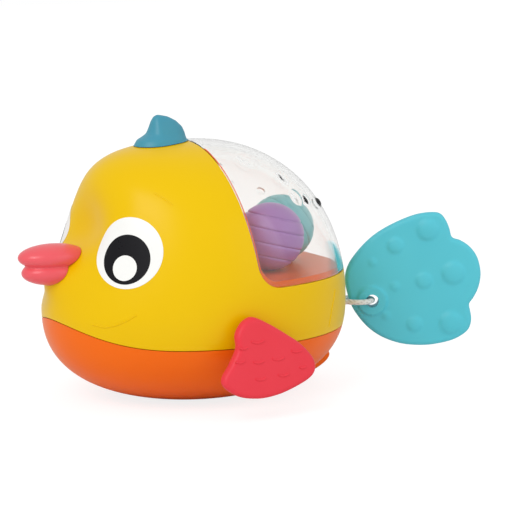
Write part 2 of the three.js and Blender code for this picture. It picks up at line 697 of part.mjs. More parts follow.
// Tail: one flat soft plate in three lobes, drawn about its swing axis, with bumps on both faces
const TAIL_OUTLINE = [
  [-5.2, 7.5], [-4.2, 14.2], [0, 20.6], [5.3, 26.1], [11, 30.1], [18.2, 33.7], [24.4, 35.9], [30.2, 36.7],
  [33.8, 36.2], [36.1, 33.7], [37.7, 30.1], [38.9, 26.2], [42.1, 25.1], [46.2, 22.4], [49.4, 18], [50.9, 11.5],
  [50.1, 5.6], [48, 1], [46.3, -1.5], [46.9, -4.9], [47.3, -8.1], [46.4, -11.8], [43.7, -14.5], [38.7, -17],
  [30.7, -18.7], [23.8, -18.9], [17.1, -18], [10.3, -15.5], [4.8, -11.8], [0.3, -6.8], [-2.9, -1.3],
];
const TAIL_BUMPS = [
  [28.6, 29.7, 4.4], [15.4, 23.1, 3.3], [6.1, 16.1, 1.8],
  [39.4, 11.7, 4.7], [27.3, 8.5, 3.3], [15.4, 6.1, 2],
  [38.6, -9.3, 4.7], [23.5, -9.8, 3.1], [11.8, -6.1, 1.8],
];

function tail() {
  const shape = smoothShape(TAIL_OUTLINE, TAIL_STEPS);
  const plate = new THREE.ExtrudeGeometry(shape, {
    depth: TAIL_THICKNESS - 2 * TAIL_EDGE,
    bevelEnabled: true,
    bevelThickness: TAIL_EDGE,
    bevelSize: TAIL_EDGE,
    bevelOffset: -TAIL_EDGE,
    bevelSegments: 2,
  });
  plate.translate(0, 0, TAIL_EDGE - TAIL_THICKNESS / 2).rotateX(Math.PI / 2);
  const bumps = TAIL_BUMPS.map(([x, z, radius]) => {
    const rise = TAIL_THICKNESS / 2 + radius * BUMP_RISE_SHARE;
    const lens = new THREE.SphereGeometry(1, 8, 4).scale(radius, rise, radius);
    return solid(lens.translate(x, 0, z));
  });
  const ringRise = TAIL_THICKNESS / 2 + EYELET_RING_RISE;
  const ring = rod(EYELET_RING_RADIUS, -ringRise, ringRise, 'y', [EYELET_OFFSET, 0, 0]);
  const hole = rod(EYELET_RADIUS, -FAR, FAR, 'y', [EYELET_OFFSET, 0, 0]);
  return cut(join(solid(plate), ring, ...bumps), hole);
}

// Pull cord outside the body: a short stem and a loop through the tail's eyelet
const GUIDE_END = STERN_X + GUIDE_LIP;
const CORD_PART = STERN_X - SHELL_WALL;

function pullCord() {
  const stemEnd = TAIL_AXIS_X - LOOP_RADIUS;
  const stem = rod(CORD_RADIUS, CORD_PART + SEAT_GAP, stemEnd, 'x', [0, 0, CORD_HEIGHT], 8);
  const loop = new THREE.TorusGeometry(LOOP_RADIUS, CORD_RADIUS, 6, 24);
  return stem.add(solid(loop.translate(TAIL_AXIS_X, 0, CORD_HEIGHT)));
}

function cordFerrule() {
  const start = GUIDE_END + END_PLAY;
  const end = start + FERRULE_LENGTH;
  const bore = CORD_RADIUS + PRESS_GAP;
  const neck = (FERRULE_RADIUS + bore) / 2;
  const profile = [[bore, start], [neck, start], [FERRULE_RADIUS, start + FERRULE_TAPER]];
  profile.push([FERRULE_RADIUS, end - FERRULE_TAPER], [neck, end], [bore, end], [bore, start]);
  return turned(profile, 'x', [0, 0, CORD_HEIGHT]);
}

function cordGuide() {
  const bore = CORD_RADIUS + GUIDE_BORE_GAP;
  const flangeFace = STERN_X - SHELL_WALL - GUIDE_FLANGE_SETBACK;
  const start = flangeFace - GUIDE_FLANGE_THICKNESS;
  const profile = [[bore, start], [GUIDE_FLANGE_RADIUS, start], [GUIDE_FLANGE_RADIUS, flangeFace]];
  profile.push([bore + GUIDE_WALL, flangeFace], [bore + GUIDE_WALL, GUIDE_END], [bore, GUIDE_END], [bore, start]);
  return turned(profile, 'x', [0, 0, CORD_HEIGHT]);
}

// Cord on the drum and its straight run to the guide, as one unbroken tube
function woundCordPoints() {
  const points = [];
  const steps = CORD_TURNS * CORD_LOOP_STEPS;
  for (let i = 0; i <= steps; i += 1) {
    const turn = (2 * Math.PI * (i - steps)) / CORD_LOOP_STEPS;
    points.push(new THREE.Vector3(
      REEL.x + WOUND_RADIUS * Math.sin(turn),
      (-CORD_PITCH * turn) / (2 * Math.PI),
      REEL.z + WOUND_RADIUS * Math.cos(turn),
    ));
  }
  const runSteps = 12;
  for (let i = 1; i <= runSteps; i += 1) {
    points.push(new THREE.Vector3(REEL.x + ((CORD_PART - REEL.x) * i) / runSteps, 0, CORD_HEIGHT));
  }
  return points;
}

function leastGap(points) {
  let least = Infinity;
  const halfLoop = CORD_LOOP_STEPS / 2;
  points.forEach((p, i) => points.slice(i + halfLoop).forEach((q) => {
    least = Math.min(least, p.distanceTo(q));
  }));
  return least - 2 * CORD_RADIUS;
}

function woundCord() {
  const points = woundCordPoints();
  console.log(`wound cord: least gap to itself ${leastGap(points).toFixed(2)} mm`);
  const sides = Array.from({ length: CORD_SIDES }, (_, i) => {
    const angle = (2 * Math.PI * i) / CORD_SIDES;
    return [CORD_RADIUS * Math.cos(angle), CORD_RADIUS * Math.sin(angle)];
  });
  const extrudePath = new THREE.CatmullRomCurve3(points);
  return solid(new THREE.ExtrudeGeometry(shapeOf(sides), { extrudePath, steps: points.length - 1 }));
}

// Flippers: a fan-shaped blade that leans out towards its foot, on a round hub over the axle
const FLIPPER_OUTLINE = [
  [-0.4, 9.9], [5.9, 6.8], [12.1, 2.9], [18.3, -1.5], [23, -7], [23.5, -11.5], [20.3, -14.8], [11.8, -18],
  [4.5, -19.6], [-2.6, -19.9], [-10.3, -18.4], [-15.7, -14.7], [-16.2, -11.2], [-12.4, -6.2], [-9.2, -1],
  [-9, 3.7], [-6.9, 7.2], [-4, 9.4],
];
const FLIPPER_TOP = Math.max(...FLIPPER_OUTLINE.map(([, z]) => z));

function flipper() {
  const shape = smoothShape(FLIPPER_OUTLINE, FLIPPER_STEPS);
  const blade = new THREE.ExtrudeGeometry(shape, {
    depth: FLIPPER_THICKNESS - 2 * FLIPPER_EDGE,
    bevelEnabled: true,
    bevelThickness: FLIPPER_EDGE,
    bevelSize: FLIPPER_EDGE,
    bevelOffset: -FLIPPER_EDGE,
    bevelSegments: 1,
  });
  blade.translate(0, 0, FLIPPER_EDGE + BLADE_Y).rotateX(Math.PI / 2);
  const place = blade.getAttribute('position');
  for (let i = 0; i < place.count; i += 1) {
    place.setY(i, place.getY(i) - FLIPPER_LEAN * (FLIPPER_TOP - place.getZ(i)));
  }
  const hubStart = HALF_WIDTH + BUSH_LIP + SEAT_GAP;
  const hubEnd = BLADE_Y + FLIPPER_THICKNESS / 2 + FLIPPER_LEAN * (FLIPPER_TOP - FLIPPER_HUB_RADIUS);
  const hub = rod(FLIPPER_HUB_RADIUS, -hubEnd, -hubStart, 'y', [0, 0, 0]);
  const bore = rod(AXLE_RADIUS + PRESS_GAP, -hubStart - FLIPPER_BORE_DEPTH, 0, 'y', [0, 0, 0]);
  const whole = geometryOf(cut(join(solid(blade), hub), bore));
  return solid(whole.translate(AXLE.x, 0, AXLE.z));
}

const AXLE_END = HALF_WIDTH + BUSH_LIP + FLIPPER_BORE_DEPTH;

function axleBush() {
  const bore = AXLE_RADIUS + RUN_FIT;
  const radius = bore + BUSH_WALL;
  const end = HALF_WIDTH + BUSH_LIP;
  const start = end - BUSH_LENGTH;
  const step = start + BUSH_FLANGE_THICKNESS;
  const profile = [[bore, start], [BUSH_FLANGE_RADIUS, start], [BUSH_FLANGE_RADIUS, step], [radius, step]];
  profile.push([radius, end], [bore, end], [bore, start]);
  return turned(profile, 'y', [AXLE.x, 0, AXLE.z]);
}

// Spring motor
function cordReel() {
  const bore = PIN_RADIUS + RUN_FIT;
  const start = CASE_Y0 + END_PLAY;
  const gearMiddle = (GEAR_Y0 + GEAR_Y1) / 2;
  const end = CASE_Y1 - END_PLAY;
  const profile = [[bore, start], [ARBOR_RADIUS, start], [ARBOR_RADIUS, gearMiddle], [DRUM_RADIUS, gearMiddle]];
  profile.push([DRUM_RADIUS, DRUM_Y1], [DRUM_FLANGE_RADIUS, DRUM_Y1], [DRUM_FLANGE_RADIUS, end], [bore, end]);
  profile.push([bore, start]);
  const drum = turned(profile, 'y', [REEL.x, 0, REEL.z]);
  const wheel = gear(REEL_TEETH, REEL_PHASE, REEL).subtract(rod(bore, -FAR, FAR, 'y', [REEL.x, 0, REEL.z]));
  return drum.add(wheel);
}

function hubbedGear(teeth, phase, centre, bore, hubRadius) {
  const hub = rod(hubRadius, CASE_Y0 + END_PLAY, CASE_Y1 - END_PLAY, 'y', [centre.x, 0, centre.z]);
  return gear(teeth, phase, centre).add(hub).subtract(rod(bore, -FAR, FAR, 'y', [centre.x, 0, centre.z]));
}

function motorPin(centre) {
  return rod(PIN_RADIUS, CASE_Y0 - CASE_WALL, CASE_Y1 + CASE_WALL, 'y', [centre.x, 0, centre.z]);
}

// Mainspring: a flat strip wound in a spiral round the reel's arbor
function mainspring() {
  const steps = Math.round(SPRING_TURNS * SPRING_TURN_STEPS);
  const side = (offset) => Array.from({ length: steps + 1 }, (_, i) => {
    const turn = (2 * Math.PI * SPRING_TURNS * i) / steps;
    const radius = ARBOR_RADIUS + SEAT_GAP + SPRING_STRIP / 2 + (SPRING_PITCH * turn) / (2 * Math.PI) + offset;
    return [REEL.x + radius * Math.cos(turn), REEL.z + radius * Math.sin(turn)];
  });
  const outline = [...side(SPRING_STRIP / 2), ...side(-SPRING_STRIP / 2).reverse()];
  const start = CASE_Y0 + SPRING_SIDE_GAP;
  return prism(shapeOf(outline), start, start + SPRING_WIDTH);
}

// Motor case: a belt-shaped box round axle, idler and reel, in two halves with screw ears
function beltShape(grow) {
  const tipRadius = (teeth) => pitchRadius(teeth) + TOOTH_RISE * GEAR_MODULE;
  const wheels = [
    [AXLE, CASE_AXLE_ROOM],
    [IDLER, tipRadius(IDLER_TEETH) + CASE_GEAR_GAP],
    [REEL, Math.max(tipRadius(REEL_TEETH), DRUM_FLANGE_RADIUS) + CASE_GEAR_GAP],
  ];
  const cloud = wheels.flatMap(([centre, radius]) => Array.from({ length: CASE_CORNER_STEPS }, (_, i) => {
    const angle = (2 * Math.PI * i) / CASE_CORNER_STEPS;
    return [centre.x + (radius + grow) * Math.cos(angle), centre.z + (radius + grow) * Math.sin(angle)];
  }));
  cloud.sort((a, b) => a[0] - b[0] || a[1] - b[1]);
  const turnOf = (o, a, b) => (a[0] - o[0]) * (b[1] - o[1]) - (a[1] - o[1]) * (b[0] - o[0]);
  const chain = (points) => points.reduce((kept, point) => {
    while (kept.length > 1 && turnOf(kept.at(-2), kept.at(-1), point) <= 0) kept.pop();
    return [...kept, point];
  }, []);
  const lower = chain(cloud);
  const upper = chain([...cloud].reverse());
  return shapeOf([...lower.slice(0, -1), ...upper.slice(0, -1)]);
}

function earScrewPlaces() {
  return Object.values(EAR_PLACES).flatMap((y) => [EAR_FRONT_X, EAR_REAR_X].map((x) => [x, y]));
}

function motorCase(side) {
  const left = side === 'left';
  const [open, shut] = left ? [-SEAT_GAP / 2, CASE_Y0] : [SEAT_GAP / 2, CASE_Y1];
  const back = left ? shut - CASE_WALL : shut + CASE_WALL;
  const outer = prism(beltShape(CASE_WALL), Math.min(open, back), Math.max(open, back));
  const room = prism(beltShape(0), Math.min(0, shut), Math.max(0, shut));
  const earY = EAR_PLACES[side];
  const ears = [EAR_FRONT_X, EAR_REAR_X].map((x) => {
    const reach = [back - Math.sign(earY) * (CASE_WALL / 2), back + Math.sign(earY) * EAR_REACH];
    return block(
      x - EAR_WIDTH / 2, x + EAR_WIDTH / 2, Math.min(...reach), Math.max(...reach),
      EAR_HEIGHT, EAR_HEIGHT + EAR_THICKNESS,
    );
  });
  const earHoles = [EAR_FRONT_X, EAR_REAR_X].map((x) => (
    rod(SCREW_RADIUS + SCREW_HOLE_GAP, 0, WAIST_HEIGHT, 'z', [x, earY, 0], POST_SIDES)
  ));
  const holes = [
    rod(AXLE_RADIUS + RUN_FIT, -FAR, FAR, 'y', [AXLE.x, 0, AXLE.z]),
    rod(PIN_RADIUS + PRESS_GAP, -FAR, FAR, 'y', [IDLER.x, 0, IDLER.z]),
    rod(PIN_RADIUS + PRESS_GAP, -FAR, FAR, 'y', [REEL.x, 0, REEL.z]),
    rod(CORD_RADIUS + CORD_SLOT_GAP, REEL.x, FAR, 'x', [0, 0, CORD_HEIGHT]),
  ];
  return cut(join(outer.subtract(room), ...ears), ...earHoles, ...holes);
}

// Screws stand along Z, with the head at the low end for the hull and at the high end for the ears
function screw(x, y, seat, length, headUp) {
  const sign = headUp ? -1 : 1;
  const head = seat - sign * SCREW_HEAD_HEIGHT;
  const tip = seat + sign * length;
  const profile = [[0, head], [SCREW_HEAD_RADIUS, head], [SCREW_HEAD_RADIUS, seat]];
  profile.push([SCREW_RADIUS, seat], [SCREW_RADIUS, tip - sign * SCREW_RADIUS], [0, tip]);
  return turned(headUp ? profile.reverse() : profile, 'z', [x, y, 0], POST_SIDES);
}

// Materials, each in the colour of its moulding
function plastic(color, roughness) {
  return new THREE.MeshStandardMaterial({ color, roughness, metalness: 0 });
}

const yellow = plastic(0xf4d400, 0.32);
const orange = plastic(0xe0661a, 0.34);
const clear = new THREE.MeshStandardMaterial({
  color: 0xf2f5f5, roughness: 0.05, metalness: 0, transparent: true, opacity: 0.3,
});
const coral = plastic(0xe63c46, 0.45);
const teal = plastic(0x3e95a9, 0.45);
const aqua = plastic(0x55bccb, 0.5);
const violet = plastic(0x9a6fb0, 0.4);
const mint = plastic(0x7fc4c4, 0.4);
const cordWhite = plastic(0xe4e4e0, 0.8);
const natural = plastic(0xe9e6dc, 0.5);
const acetal = plastic(0xf2f1ec, 0.4);
const steel = new THREE.MeshStandardMaterial({ color: 0xb9bcc0, roughness: 0.3, metalness: 1 });

const fish = new THREE.Group();

function add(name, manifold, material, parent = fish) {
  const mesh = new THREE.Mesh(geometryOf(manifold), material);
  mesh.name = name;
  parent.add(mesh);
  return mesh;
}

// Body
add('upper_shell', upperShell(), yellow);
add('lower_hull', lowerHull(), orange);
add('dome_window', domeWindow(), clear);
add('ball_tray', ballTray(), orange);
add('lips', lips(), coral);
add('dorsal_fin', dorsalFin(), teal);
const { purple, teal: tealPlace } = ballPlaces();
add('purple_ball', rattleBall(0), violet).position.set(purple.x, purple.y, BALL_REST);
add('teal_ball', rattleBall(TEAL_BALL_TILT), mint).position.set(tealPlace.x, tealPlace.y, BALL_REST);

// Tail on its cord
const tailGroup = new THREE.Group();
tailGroup.position.set(TAIL_AXIS_X, 0, CORD_HEIGHT);
tailGroup.rotation.z = TAIL_YAW;
fish.add(tailGroup);
add('tail', tail(), aqua, tailGroup);
add('pull_cord', pullCord(), cordWhite);
add('cord_ferrule', cordFerrule(), acetal);
add('cord_guide', cordGuide(), acetal);
add('wound_cord', woundCord(), cordWhite);

// Flippers on their axle
const leftFlipper = flipper();
add('left_flipper', leftFlipper, coral);
add('right_flipper', mirrored(leftFlipper), coral);
add('drive_axle', rod(AXLE_RADIUS, -AXLE_END, AXLE_END, 'y', [AXLE.x, 0, AXLE.z]), steel);
add('right_axle_bush', axleBush(), acetal);
add('left_axle_bush', mirrored(axleBush()), acetal);

// Spring motor
add('motor_case_left', motorCase('left'), natural);
add('motor_case_right', motorCase('right'), natural);
add('cord_reel', cordReel(), acetal);
const idlerGear = hubbedGear(IDLER_TEETH, IDLER_PHASE, IDLER, PIN_RADIUS + RUN_FIT, IDLER_HUB_RADIUS);
const axlePinion = hubbedGear(PINION_TEETH, PINION_PHASE, AXLE, AXLE_RADIUS + PRESS_GAP, PINION_HUB_RADIUS);
add('idler_gear', idlerGear, acetal);
add('axle_pinion', axlePinion, acetal);
add('reel_pin', motorPin(REEL), steel);
add('idler_pin', motorPin(IDLER), steel);
add('mainspring', mainspring(), steel);

// Screws
POST_PLACES.forEach(([x, y], i) => {
  add(`hull_screw_${i + 1}`, screw(x, y, HULL_SCREW_SEAT - SEAT_GAP, HULL_SCREW_LENGTH, false), steel);
});
earScrewPlaces().forEach(([x, y], i) => {
  const seat = EAR_HEIGHT + EAR_THICKNESS + SEAT_GAP;
  add(`motor_screw_${i + 1}`, screw(x, y, seat, EAR_SCREW_LENGTH - SEAT_GAP, true), steel);
});

export default fish;
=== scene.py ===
# %% Load the frame
import json
import math

import bmesh
import bpy
import numpy as np
from mathutils import Matrix, Vector

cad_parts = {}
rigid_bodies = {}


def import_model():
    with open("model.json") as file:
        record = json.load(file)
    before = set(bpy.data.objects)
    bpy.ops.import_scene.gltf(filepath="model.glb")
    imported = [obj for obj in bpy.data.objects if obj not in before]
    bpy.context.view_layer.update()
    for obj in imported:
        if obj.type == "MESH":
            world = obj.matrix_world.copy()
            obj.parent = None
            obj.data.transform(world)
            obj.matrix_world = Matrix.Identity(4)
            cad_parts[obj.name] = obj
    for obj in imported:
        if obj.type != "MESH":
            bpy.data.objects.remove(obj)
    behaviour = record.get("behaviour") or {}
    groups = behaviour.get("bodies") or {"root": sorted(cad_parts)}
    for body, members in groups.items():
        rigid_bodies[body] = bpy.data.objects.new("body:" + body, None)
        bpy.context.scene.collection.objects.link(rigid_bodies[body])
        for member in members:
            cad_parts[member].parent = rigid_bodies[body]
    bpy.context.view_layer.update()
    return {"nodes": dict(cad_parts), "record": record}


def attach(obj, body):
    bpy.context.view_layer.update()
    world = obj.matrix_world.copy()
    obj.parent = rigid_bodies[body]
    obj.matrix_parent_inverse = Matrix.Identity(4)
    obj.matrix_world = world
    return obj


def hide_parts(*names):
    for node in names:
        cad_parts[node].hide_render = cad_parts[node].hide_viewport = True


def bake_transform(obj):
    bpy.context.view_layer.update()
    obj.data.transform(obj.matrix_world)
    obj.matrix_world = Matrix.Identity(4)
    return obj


for leftover in list(bpy.data.objects):
    bpy.data.objects.remove(leftover)
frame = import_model()
MM = 0.001

# %% [markdown]
# The fish looks along -X and stands on Z = 0. The picture was taken from its left front, a little from
# above, with a long lens. A long lens keeps the far eye and the near flipper about the same size, so the
# camera stands far away with a narrow view instead of close with a wide one.

# %% Camera
AIM = Vector((0, 0, 50)) * MM
LENS, CAMERA_AWAY, SHIFT_RIGHT, SHIFT_UP = 159.5, 900, 24.2, 3.97
turn, lift = math.radians(-30), math.radians(9)
to_right = Vector((math.cos(turn), math.sin(turn), 0))
to_camera = Vector((math.sin(turn) * math.cos(lift), -math.cos(turn) * math.cos(lift), math.sin(lift)))
to_top = to_camera.cross(to_right)
lens = bpy.data.cameras.new("camera")
lens.lens = LENS
lens.sensor_width = 36
lens.clip_end = 20
camera = bpy.data.objects.new("camera", lens)
camera.location = AIM + (to_right * SHIFT_RIGHT + to_top * SHIFT_UP + to_camera * CAMERA_AWAY) * MM
camera.rotation_mode = "QUATERNION"
camera.rotation_quaternion = (-to_camera).to_track_quat("-Z", "Y")
bpy.context.scene.collection.objects.link(camera)
bpy.context.scene.camera = camera
bpy.context.scene.view_settings.view_transform = "Standard"
print("camera at", [round(v, 3) for v in camera.location])

# %% [markdown]
# Every step below uses a few small tools: one turns a colour code into linear light, two start a material
# and add a node, and the rest make, finish and dress a mesh. Written once here, they keep the steps short.

# %% Small tools for nodes, meshes and colours
def linear(code):
    parts = [int(code[i:i + 2], 16) / 255 for i in (1, 3, 5)]
    return (*(c / 12.92 if c <= 0.04045 else ((c + 0.055) / 1.055) ** 2.4 for c in parts), 1.0)


def add_node(tree, kind, inputs=None, **settings):
    made = tree.nodes.new(kind)
    for name, value in settings.items():
        setattr(made, name, value)
    for name, value in (inputs or {}).items():
        if isinstance(value, bpy.types.NodeSocket):
            tree.links.new(value, made.inputs[name])
        else:
            made.inputs[name].default_value = value
    return made


def new_material(name):
    made = bpy.data.materials.new(name)
    made.use_nodes = True
    return made, made.node_tree, made.node_tree.nodes["Principled BSDF"]


def new_piece(name, points, faces, edges=()):
    mesh = bpy.data.meshes.new(name)
    mesh.from_pydata([tuple(p) for p in np.asarray(points, float) * MM], list(edges), faces)
    made = bpy.data.objects.new(name, mesh)
    bpy.context.scene.collection.objects.link(made)
    return made


def modify(obj, kind, **settings):
    made = obj.modifiers.new(kind.lower(), kind)
    for name, value in settings.items():
        setattr(made, name, value)
    return made


def settle(obj, sharp_degrees=35):
    """Turns what the modifiers show into the object's own mesh, shaded smooth up to an angle."""
    bpy.context.view_layer.update()
    graph = bpy.context.evaluated_depsgraph_get()
    mesh = bpy.data.meshes.new_from_object(obj.evaluated_get(graph))
    obj.modifiers.clear()
    obj.data = mesh
    mesh.polygons.foreach_set("use_smooth", np.ones(len(mesh.polygons), bool))
    mesh.set_sharp_from_angle(angle=math.radians(sharp_degrees))
    return obj


def round_rims(obj, width_mm, segments, degrees=50, sharp_degrees=35):
    modify(obj, "BEVEL", width=width_mm * MM, segments=segments, limit_method="ANGLE",
           angle_limit=math.radians(degrees))
    return settle(obj, sharp_degrees)


def spots_of(obj):
    return np.array([v.co for v in obj.data.vertices]) / MM


def move_spots(obj, spots):
    obj.data.vertices.foreach_set("co", (spots * MM).astype(np.float32).ravel())
    obj.data.update()


def face_outwards(obj):
    shape = bmesh.new()
    shape.from_mesh(obj.data)
    bmesh.ops.remove_doubles(shape, verts=shape.verts, dist=1e-6)
    bmesh.ops.recalc_face_normals(shape, faces=shape.faces)
    shape.to_mesh(obj.data)
    shape.free()


def cut_with(obj, tools, operation):
    for tool in tools:
        modify(obj, "BOOLEAN", operation=operation, solver="EXACT", object=tool)
    settle(obj)
    for tool in tools:
        bpy.data.objects.remove(tool)


def grid_faces(rows, columns, closed=True):
    last = columns if closed else columns - 1
    faces = []
    for start in range(0, (rows - 1) * columns, columns):
        for c in range(last):
            here, beside = start + c, start + (c + 1) % columns
            faces.append((here, beside, beside + columns, here + columns))
    return faces


def capped_faces(rows, columns):
    last = (rows - 1) * columns
    return grid_faces(rows, columns) + [tuple(range(columns)), tuple(range(last, last + columns))]


def round_angles(count):
    return np.linspace(0, 2 * np.pi, count, endpoint=False)


def dress(obj, material, body, slot, *nodes):
    obj.data.materials.clear()
    obj.data.materials.append(material)
    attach(obj, body)
    if nodes:
        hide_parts(*nodes)
    print(f"{obj.name}: {len(obj.data.polygons) if obj.type == 'MESH' else 'curve'} faces, on {body}")


# %% [markdown]
# Most of the toy is injection-moulded. A mould gives each plastic an even colour that still drifts a
# little where it flowed thick or thin, a faint orange peel, and a gloss that follows the mould's polish.
# An image texture could hold that, but noise in real millimetres needs no file and has no seams. One
# function builds all moulded finishes, and each material sets its own colour, grain and gloss.

# %% Moulded plastics and soft rubbers
def moulded(name, light, dark, patch_mm, grain_mm, grain_height_mm, glossy, dull, **uniform):
    made, tree, shader = new_material(name)
    place = add_node(tree, "ShaderNodeTexCoord").outputs["Object"]
    patches = add_node(tree, "ShaderNodeTexNoise", {"Vector": place, "Scale": 1000 / patch_mm, "Detail": 2.0})
    tint = add_node(tree, "ShaderNodeMix", {0: patches.outputs["Fac"], 6: linear(light), 7: linear(dark)},
                    data_type="RGBA")
    grain = add_node(tree, "ShaderNodeTexNoise", {"Vector": place, "Scale": 1000 / grain_mm, "Detail": 3.0})
    polish = add_node(tree, "ShaderNodeMapRange", {
        "Value": grain.outputs["Fac"], "To Min": glossy, "To Max": dull,
    })
    peel = add_node(tree, "ShaderNodeBump", {
        "Height": grain.outputs["Fac"], "Distance": grain_height_mm * MM,
    })
    tree.links.new(tint.outputs[2], shader.inputs["Base Color"])
    tree.links.new(polish.outputs["Result"], shader.inputs["Roughness"])
    tree.links.new(peel.outputs["Normal"], shader.inputs["Normal"])
    for socket, value in uniform.items():
        shader.inputs[socket.replace("_", " ")].default_value = value
    return made


# Each line gives the two colours, then the size of patches and grain and the grain's height in mm, then the
# roughness where the mould is polished best and where least
# ABS from a polished mould: saturated colour under a bright, slightly soft gloss
yellow_abs = moulded("moulded_abs_yellow", "#f0c600", "#ecbe00", 60, 3.0, 0.002, 0.26, 0.32,
                     Specular_IOR_Level=0.15)
orange_abs = moulded("moulded_abs_orange", "#fb7414", "#f5690c", 50, 3.0, 0.002, 0.28, 0.34,
                     Specular_IOR_Level=0.15)
violet_abs = moulded("moulded_abs_violet", "#ab7cbe", "#a071b4", 20, 2.0, 0.002, 0.30, 0.38, IOR=1.54)
mint_abs = moulded("moulded_abs_mint", "#80c6ca", "#74bcc2", 20, 2.0, 0.002, 0.30, 0.38, IOR=1.54)
natural_abs = moulded("moulded_abs_natural", "#ebe7db", "#e0dbcb", 18, 1.8, 0.015, 0.42, 0.56, IOR=1.54)
# Polypropylene: a little waxier than ABS, so its highlights are wider
coral_pp = moulded("moulded_polypropylene_coral", "#ee404e", "#e83644", 30, 2.4, 0.003, 0.32, 0.40,
                   Specular_IOR_Level=0.2)
# Thermoplastic rubber: soft satin, with light that goes a little way in
coral_tpe = moulded("soft_tpe_coral", "#f26068", "#ec545e", 20, 2.0, 0.003, 0.26, 0.34, IOR=1.5)
teal_tpe = moulded("soft_tpe_teal", "#4099b0", "#378fa7", 20, 2.0, 0.003, 0.40, 0.48, IOR=1.5)
aqua_tpe = moulded("soft_tpe_aqua", "#58ccdc", "#4ec4d5", 36, 2.0, 0.004, 0.46, 0.54, IOR=1.5)
# Acetal: white, slippery and matt
white_acetal = moulded("moulded_acetal_white", "#f3f2ed", "#e9e8e1", 12, 1.2, 0.012, 0.36, 0.50, IOR=1.48)
# Pad-printed ink: a thin even film that shows the gloss of the plastic under it
white_ink = moulded("pad_print_white", "#fbfbf8", "#f3f3ef", 18, 1.6, 0.006, 0.26, 0.36, IOR=1.5)
black_ink = moulded("pad_print_black", "#121115", "#18171b", 18, 1.6, 0.002, 0.24, 0.34,
                    Specular_IOR_Level=0.15)
# Bright steel: metal with a fine drawn finish
bright_steel = moulded("drawn_steel_bright", "#c3c6ca", "#adb1b6", 8, 0.6, 0.006, 0.22, 0.40, Metallic=1.0)
# Clear polystyrene: polished on both faces, so it shows mostly what lies behind it. A thin wall bends light
# little, so its IOR is matched below that of a solid block.
clear_ps = moulded("moulded_polystyrene_clear", "#fcfcfb", "#f7f7f5", 30, 9.0, 0.004, 0.02, 0.05, IOR=1.2,
                   Transmission_Weight=1.0, Coat_Weight=0.5, Coat_Roughness=0.03)
print("materials:", len(bpy.data.materials))

# %% [markdown]
# The pull cord is braided nylon. A braid shows as slanting rows of small bumps, a little over a millimetre
# apart. Two crossing wave patterns in the piece's own coordinates give those rows as a bump, which is
# lighter than weaving real strands for a cord this short.

# %% Braided cord
braided_nylon, braid, cord_shader = new_material("braided_nylon_white")
cord_place = add_node(braid, "ShaderNodeTexCoord").outputs["Object"]
STRAND_MM = 1.2
# A wave pattern of scale 1 repeats every 2 pi / 20 metres
wave_scale = 2 * math.pi / 20 / (STRAND_MM * MM)
strands = []
for slant in (0.8, -0.8):
    turned = add_node(braid, "ShaderNodeMapping", {"Vector": cord_place, "Rotation": (0.6, slant, slant)})
    wave = add_node(braid, "ShaderNodeTexWave", {
        "Vector": turned.outputs[0], "Scale": wave_scale, "Distortion": 0.6,
    })
    strands.append(wave.outputs["Fac"])
weave = add_node(braid, "ShaderNodeMath", {0: strands[0], 1: strands[1]}, operation="MAXIMUM")
# Painted shade: the same weave that makes the bump also colours the cord, lighter on the strands' crowns and
# darker grey in the grooves between them.
yarn_with_painted_groove_shade = add_node(braid, "ShaderNodeMix", {0: weave.outputs[0], 6: linear("#cfd0cc"), 7: linear("#f0f0ec")},
                data_type="RGBA")
strand_bump = add_node(braid, "ShaderNodeBump", {"Height": weave.outputs[0], "Distance": 0.1 * MM})
braid.links.new(yarn_with_painted_groove_shade.outputs[2], cord_shader.inputs["Base Color"])
braid.links.new(strand_bump.outputs["Normal"], cord_shader.inputs["Normal"])
cord_shader.inputs["Roughness"].default_value = 0.75
print("cord strands every", STRAND_MM, "mm")

# %% [markdown]
# The pull cord runs out of its guide, through a crimped ferrule, round through the tail's eyelet and back
# into the ferrule. It is one open curve, so Blender's own curve bevel makes the tube. The short stretch
# between guide and ferrule is a piece of its own, because more of it shows when the tail is pulled.

# %% Pull cord
CORD_RADIUS, CORD_HEIGHT, TAIL_AXIS = 1.1, 29.6, 76.5
LOOP_RADIUS, STRAND_OFFSET = 6.2, 1.15
FERRULE_START, FERRULE_END = 64.2, 68.6
drift = np.linspace(0, 1, 12)
into_loop = [
    (FERRULE_START + (FERRULE_END - FERRULE_START) * s, STRAND_OFFSET * s * s * (3 - 2 * s), CORD_HEIGHT)
    for s in drift
]
loop_start = math.pi - math.asin(STRAND_OFFSET * 1.9 / LOOP_RADIUS)
loop_turns = np.linspace(loop_start, -loop_start, 40)
round_loop = [
    (TAIL_AXIS + LOOP_RADIUS * math.cos(a), LOOP_RADIUS * math.sin(a), CORD_HEIGHT) for a in loop_turns
]
cord_route = [*into_loop, *round_loop, (FERRULE_END - 0.3, -STRAND_OFFSET, CORD_HEIGHT)]
cord_curve = bpy.data.curves.new("pull_cord_loop", "CURVE")
cord_curve.dimensions = "3D"
cord_curve.bevel_depth = CORD_RADIUS * MM
cord_curve.bevel_resolution = 5
cord_curve.use_fill_caps = True
cord_line = cord_curve.splines.new("POLY")
cord_line.points.add(len(cord_route) - 1)
for point, spot in zip(cord_line.points, cord_route):
    point.co = (*(v * MM for v in spot), 1)
pull_cord = bpy.data.objects.new("pull_cord_loop", cord_curve)
bpy.context.scene.collection.objects.link(pull_cord)
dress(pull_cord, braided_nylon, "cord_end", "white_cord", "pull_cord")

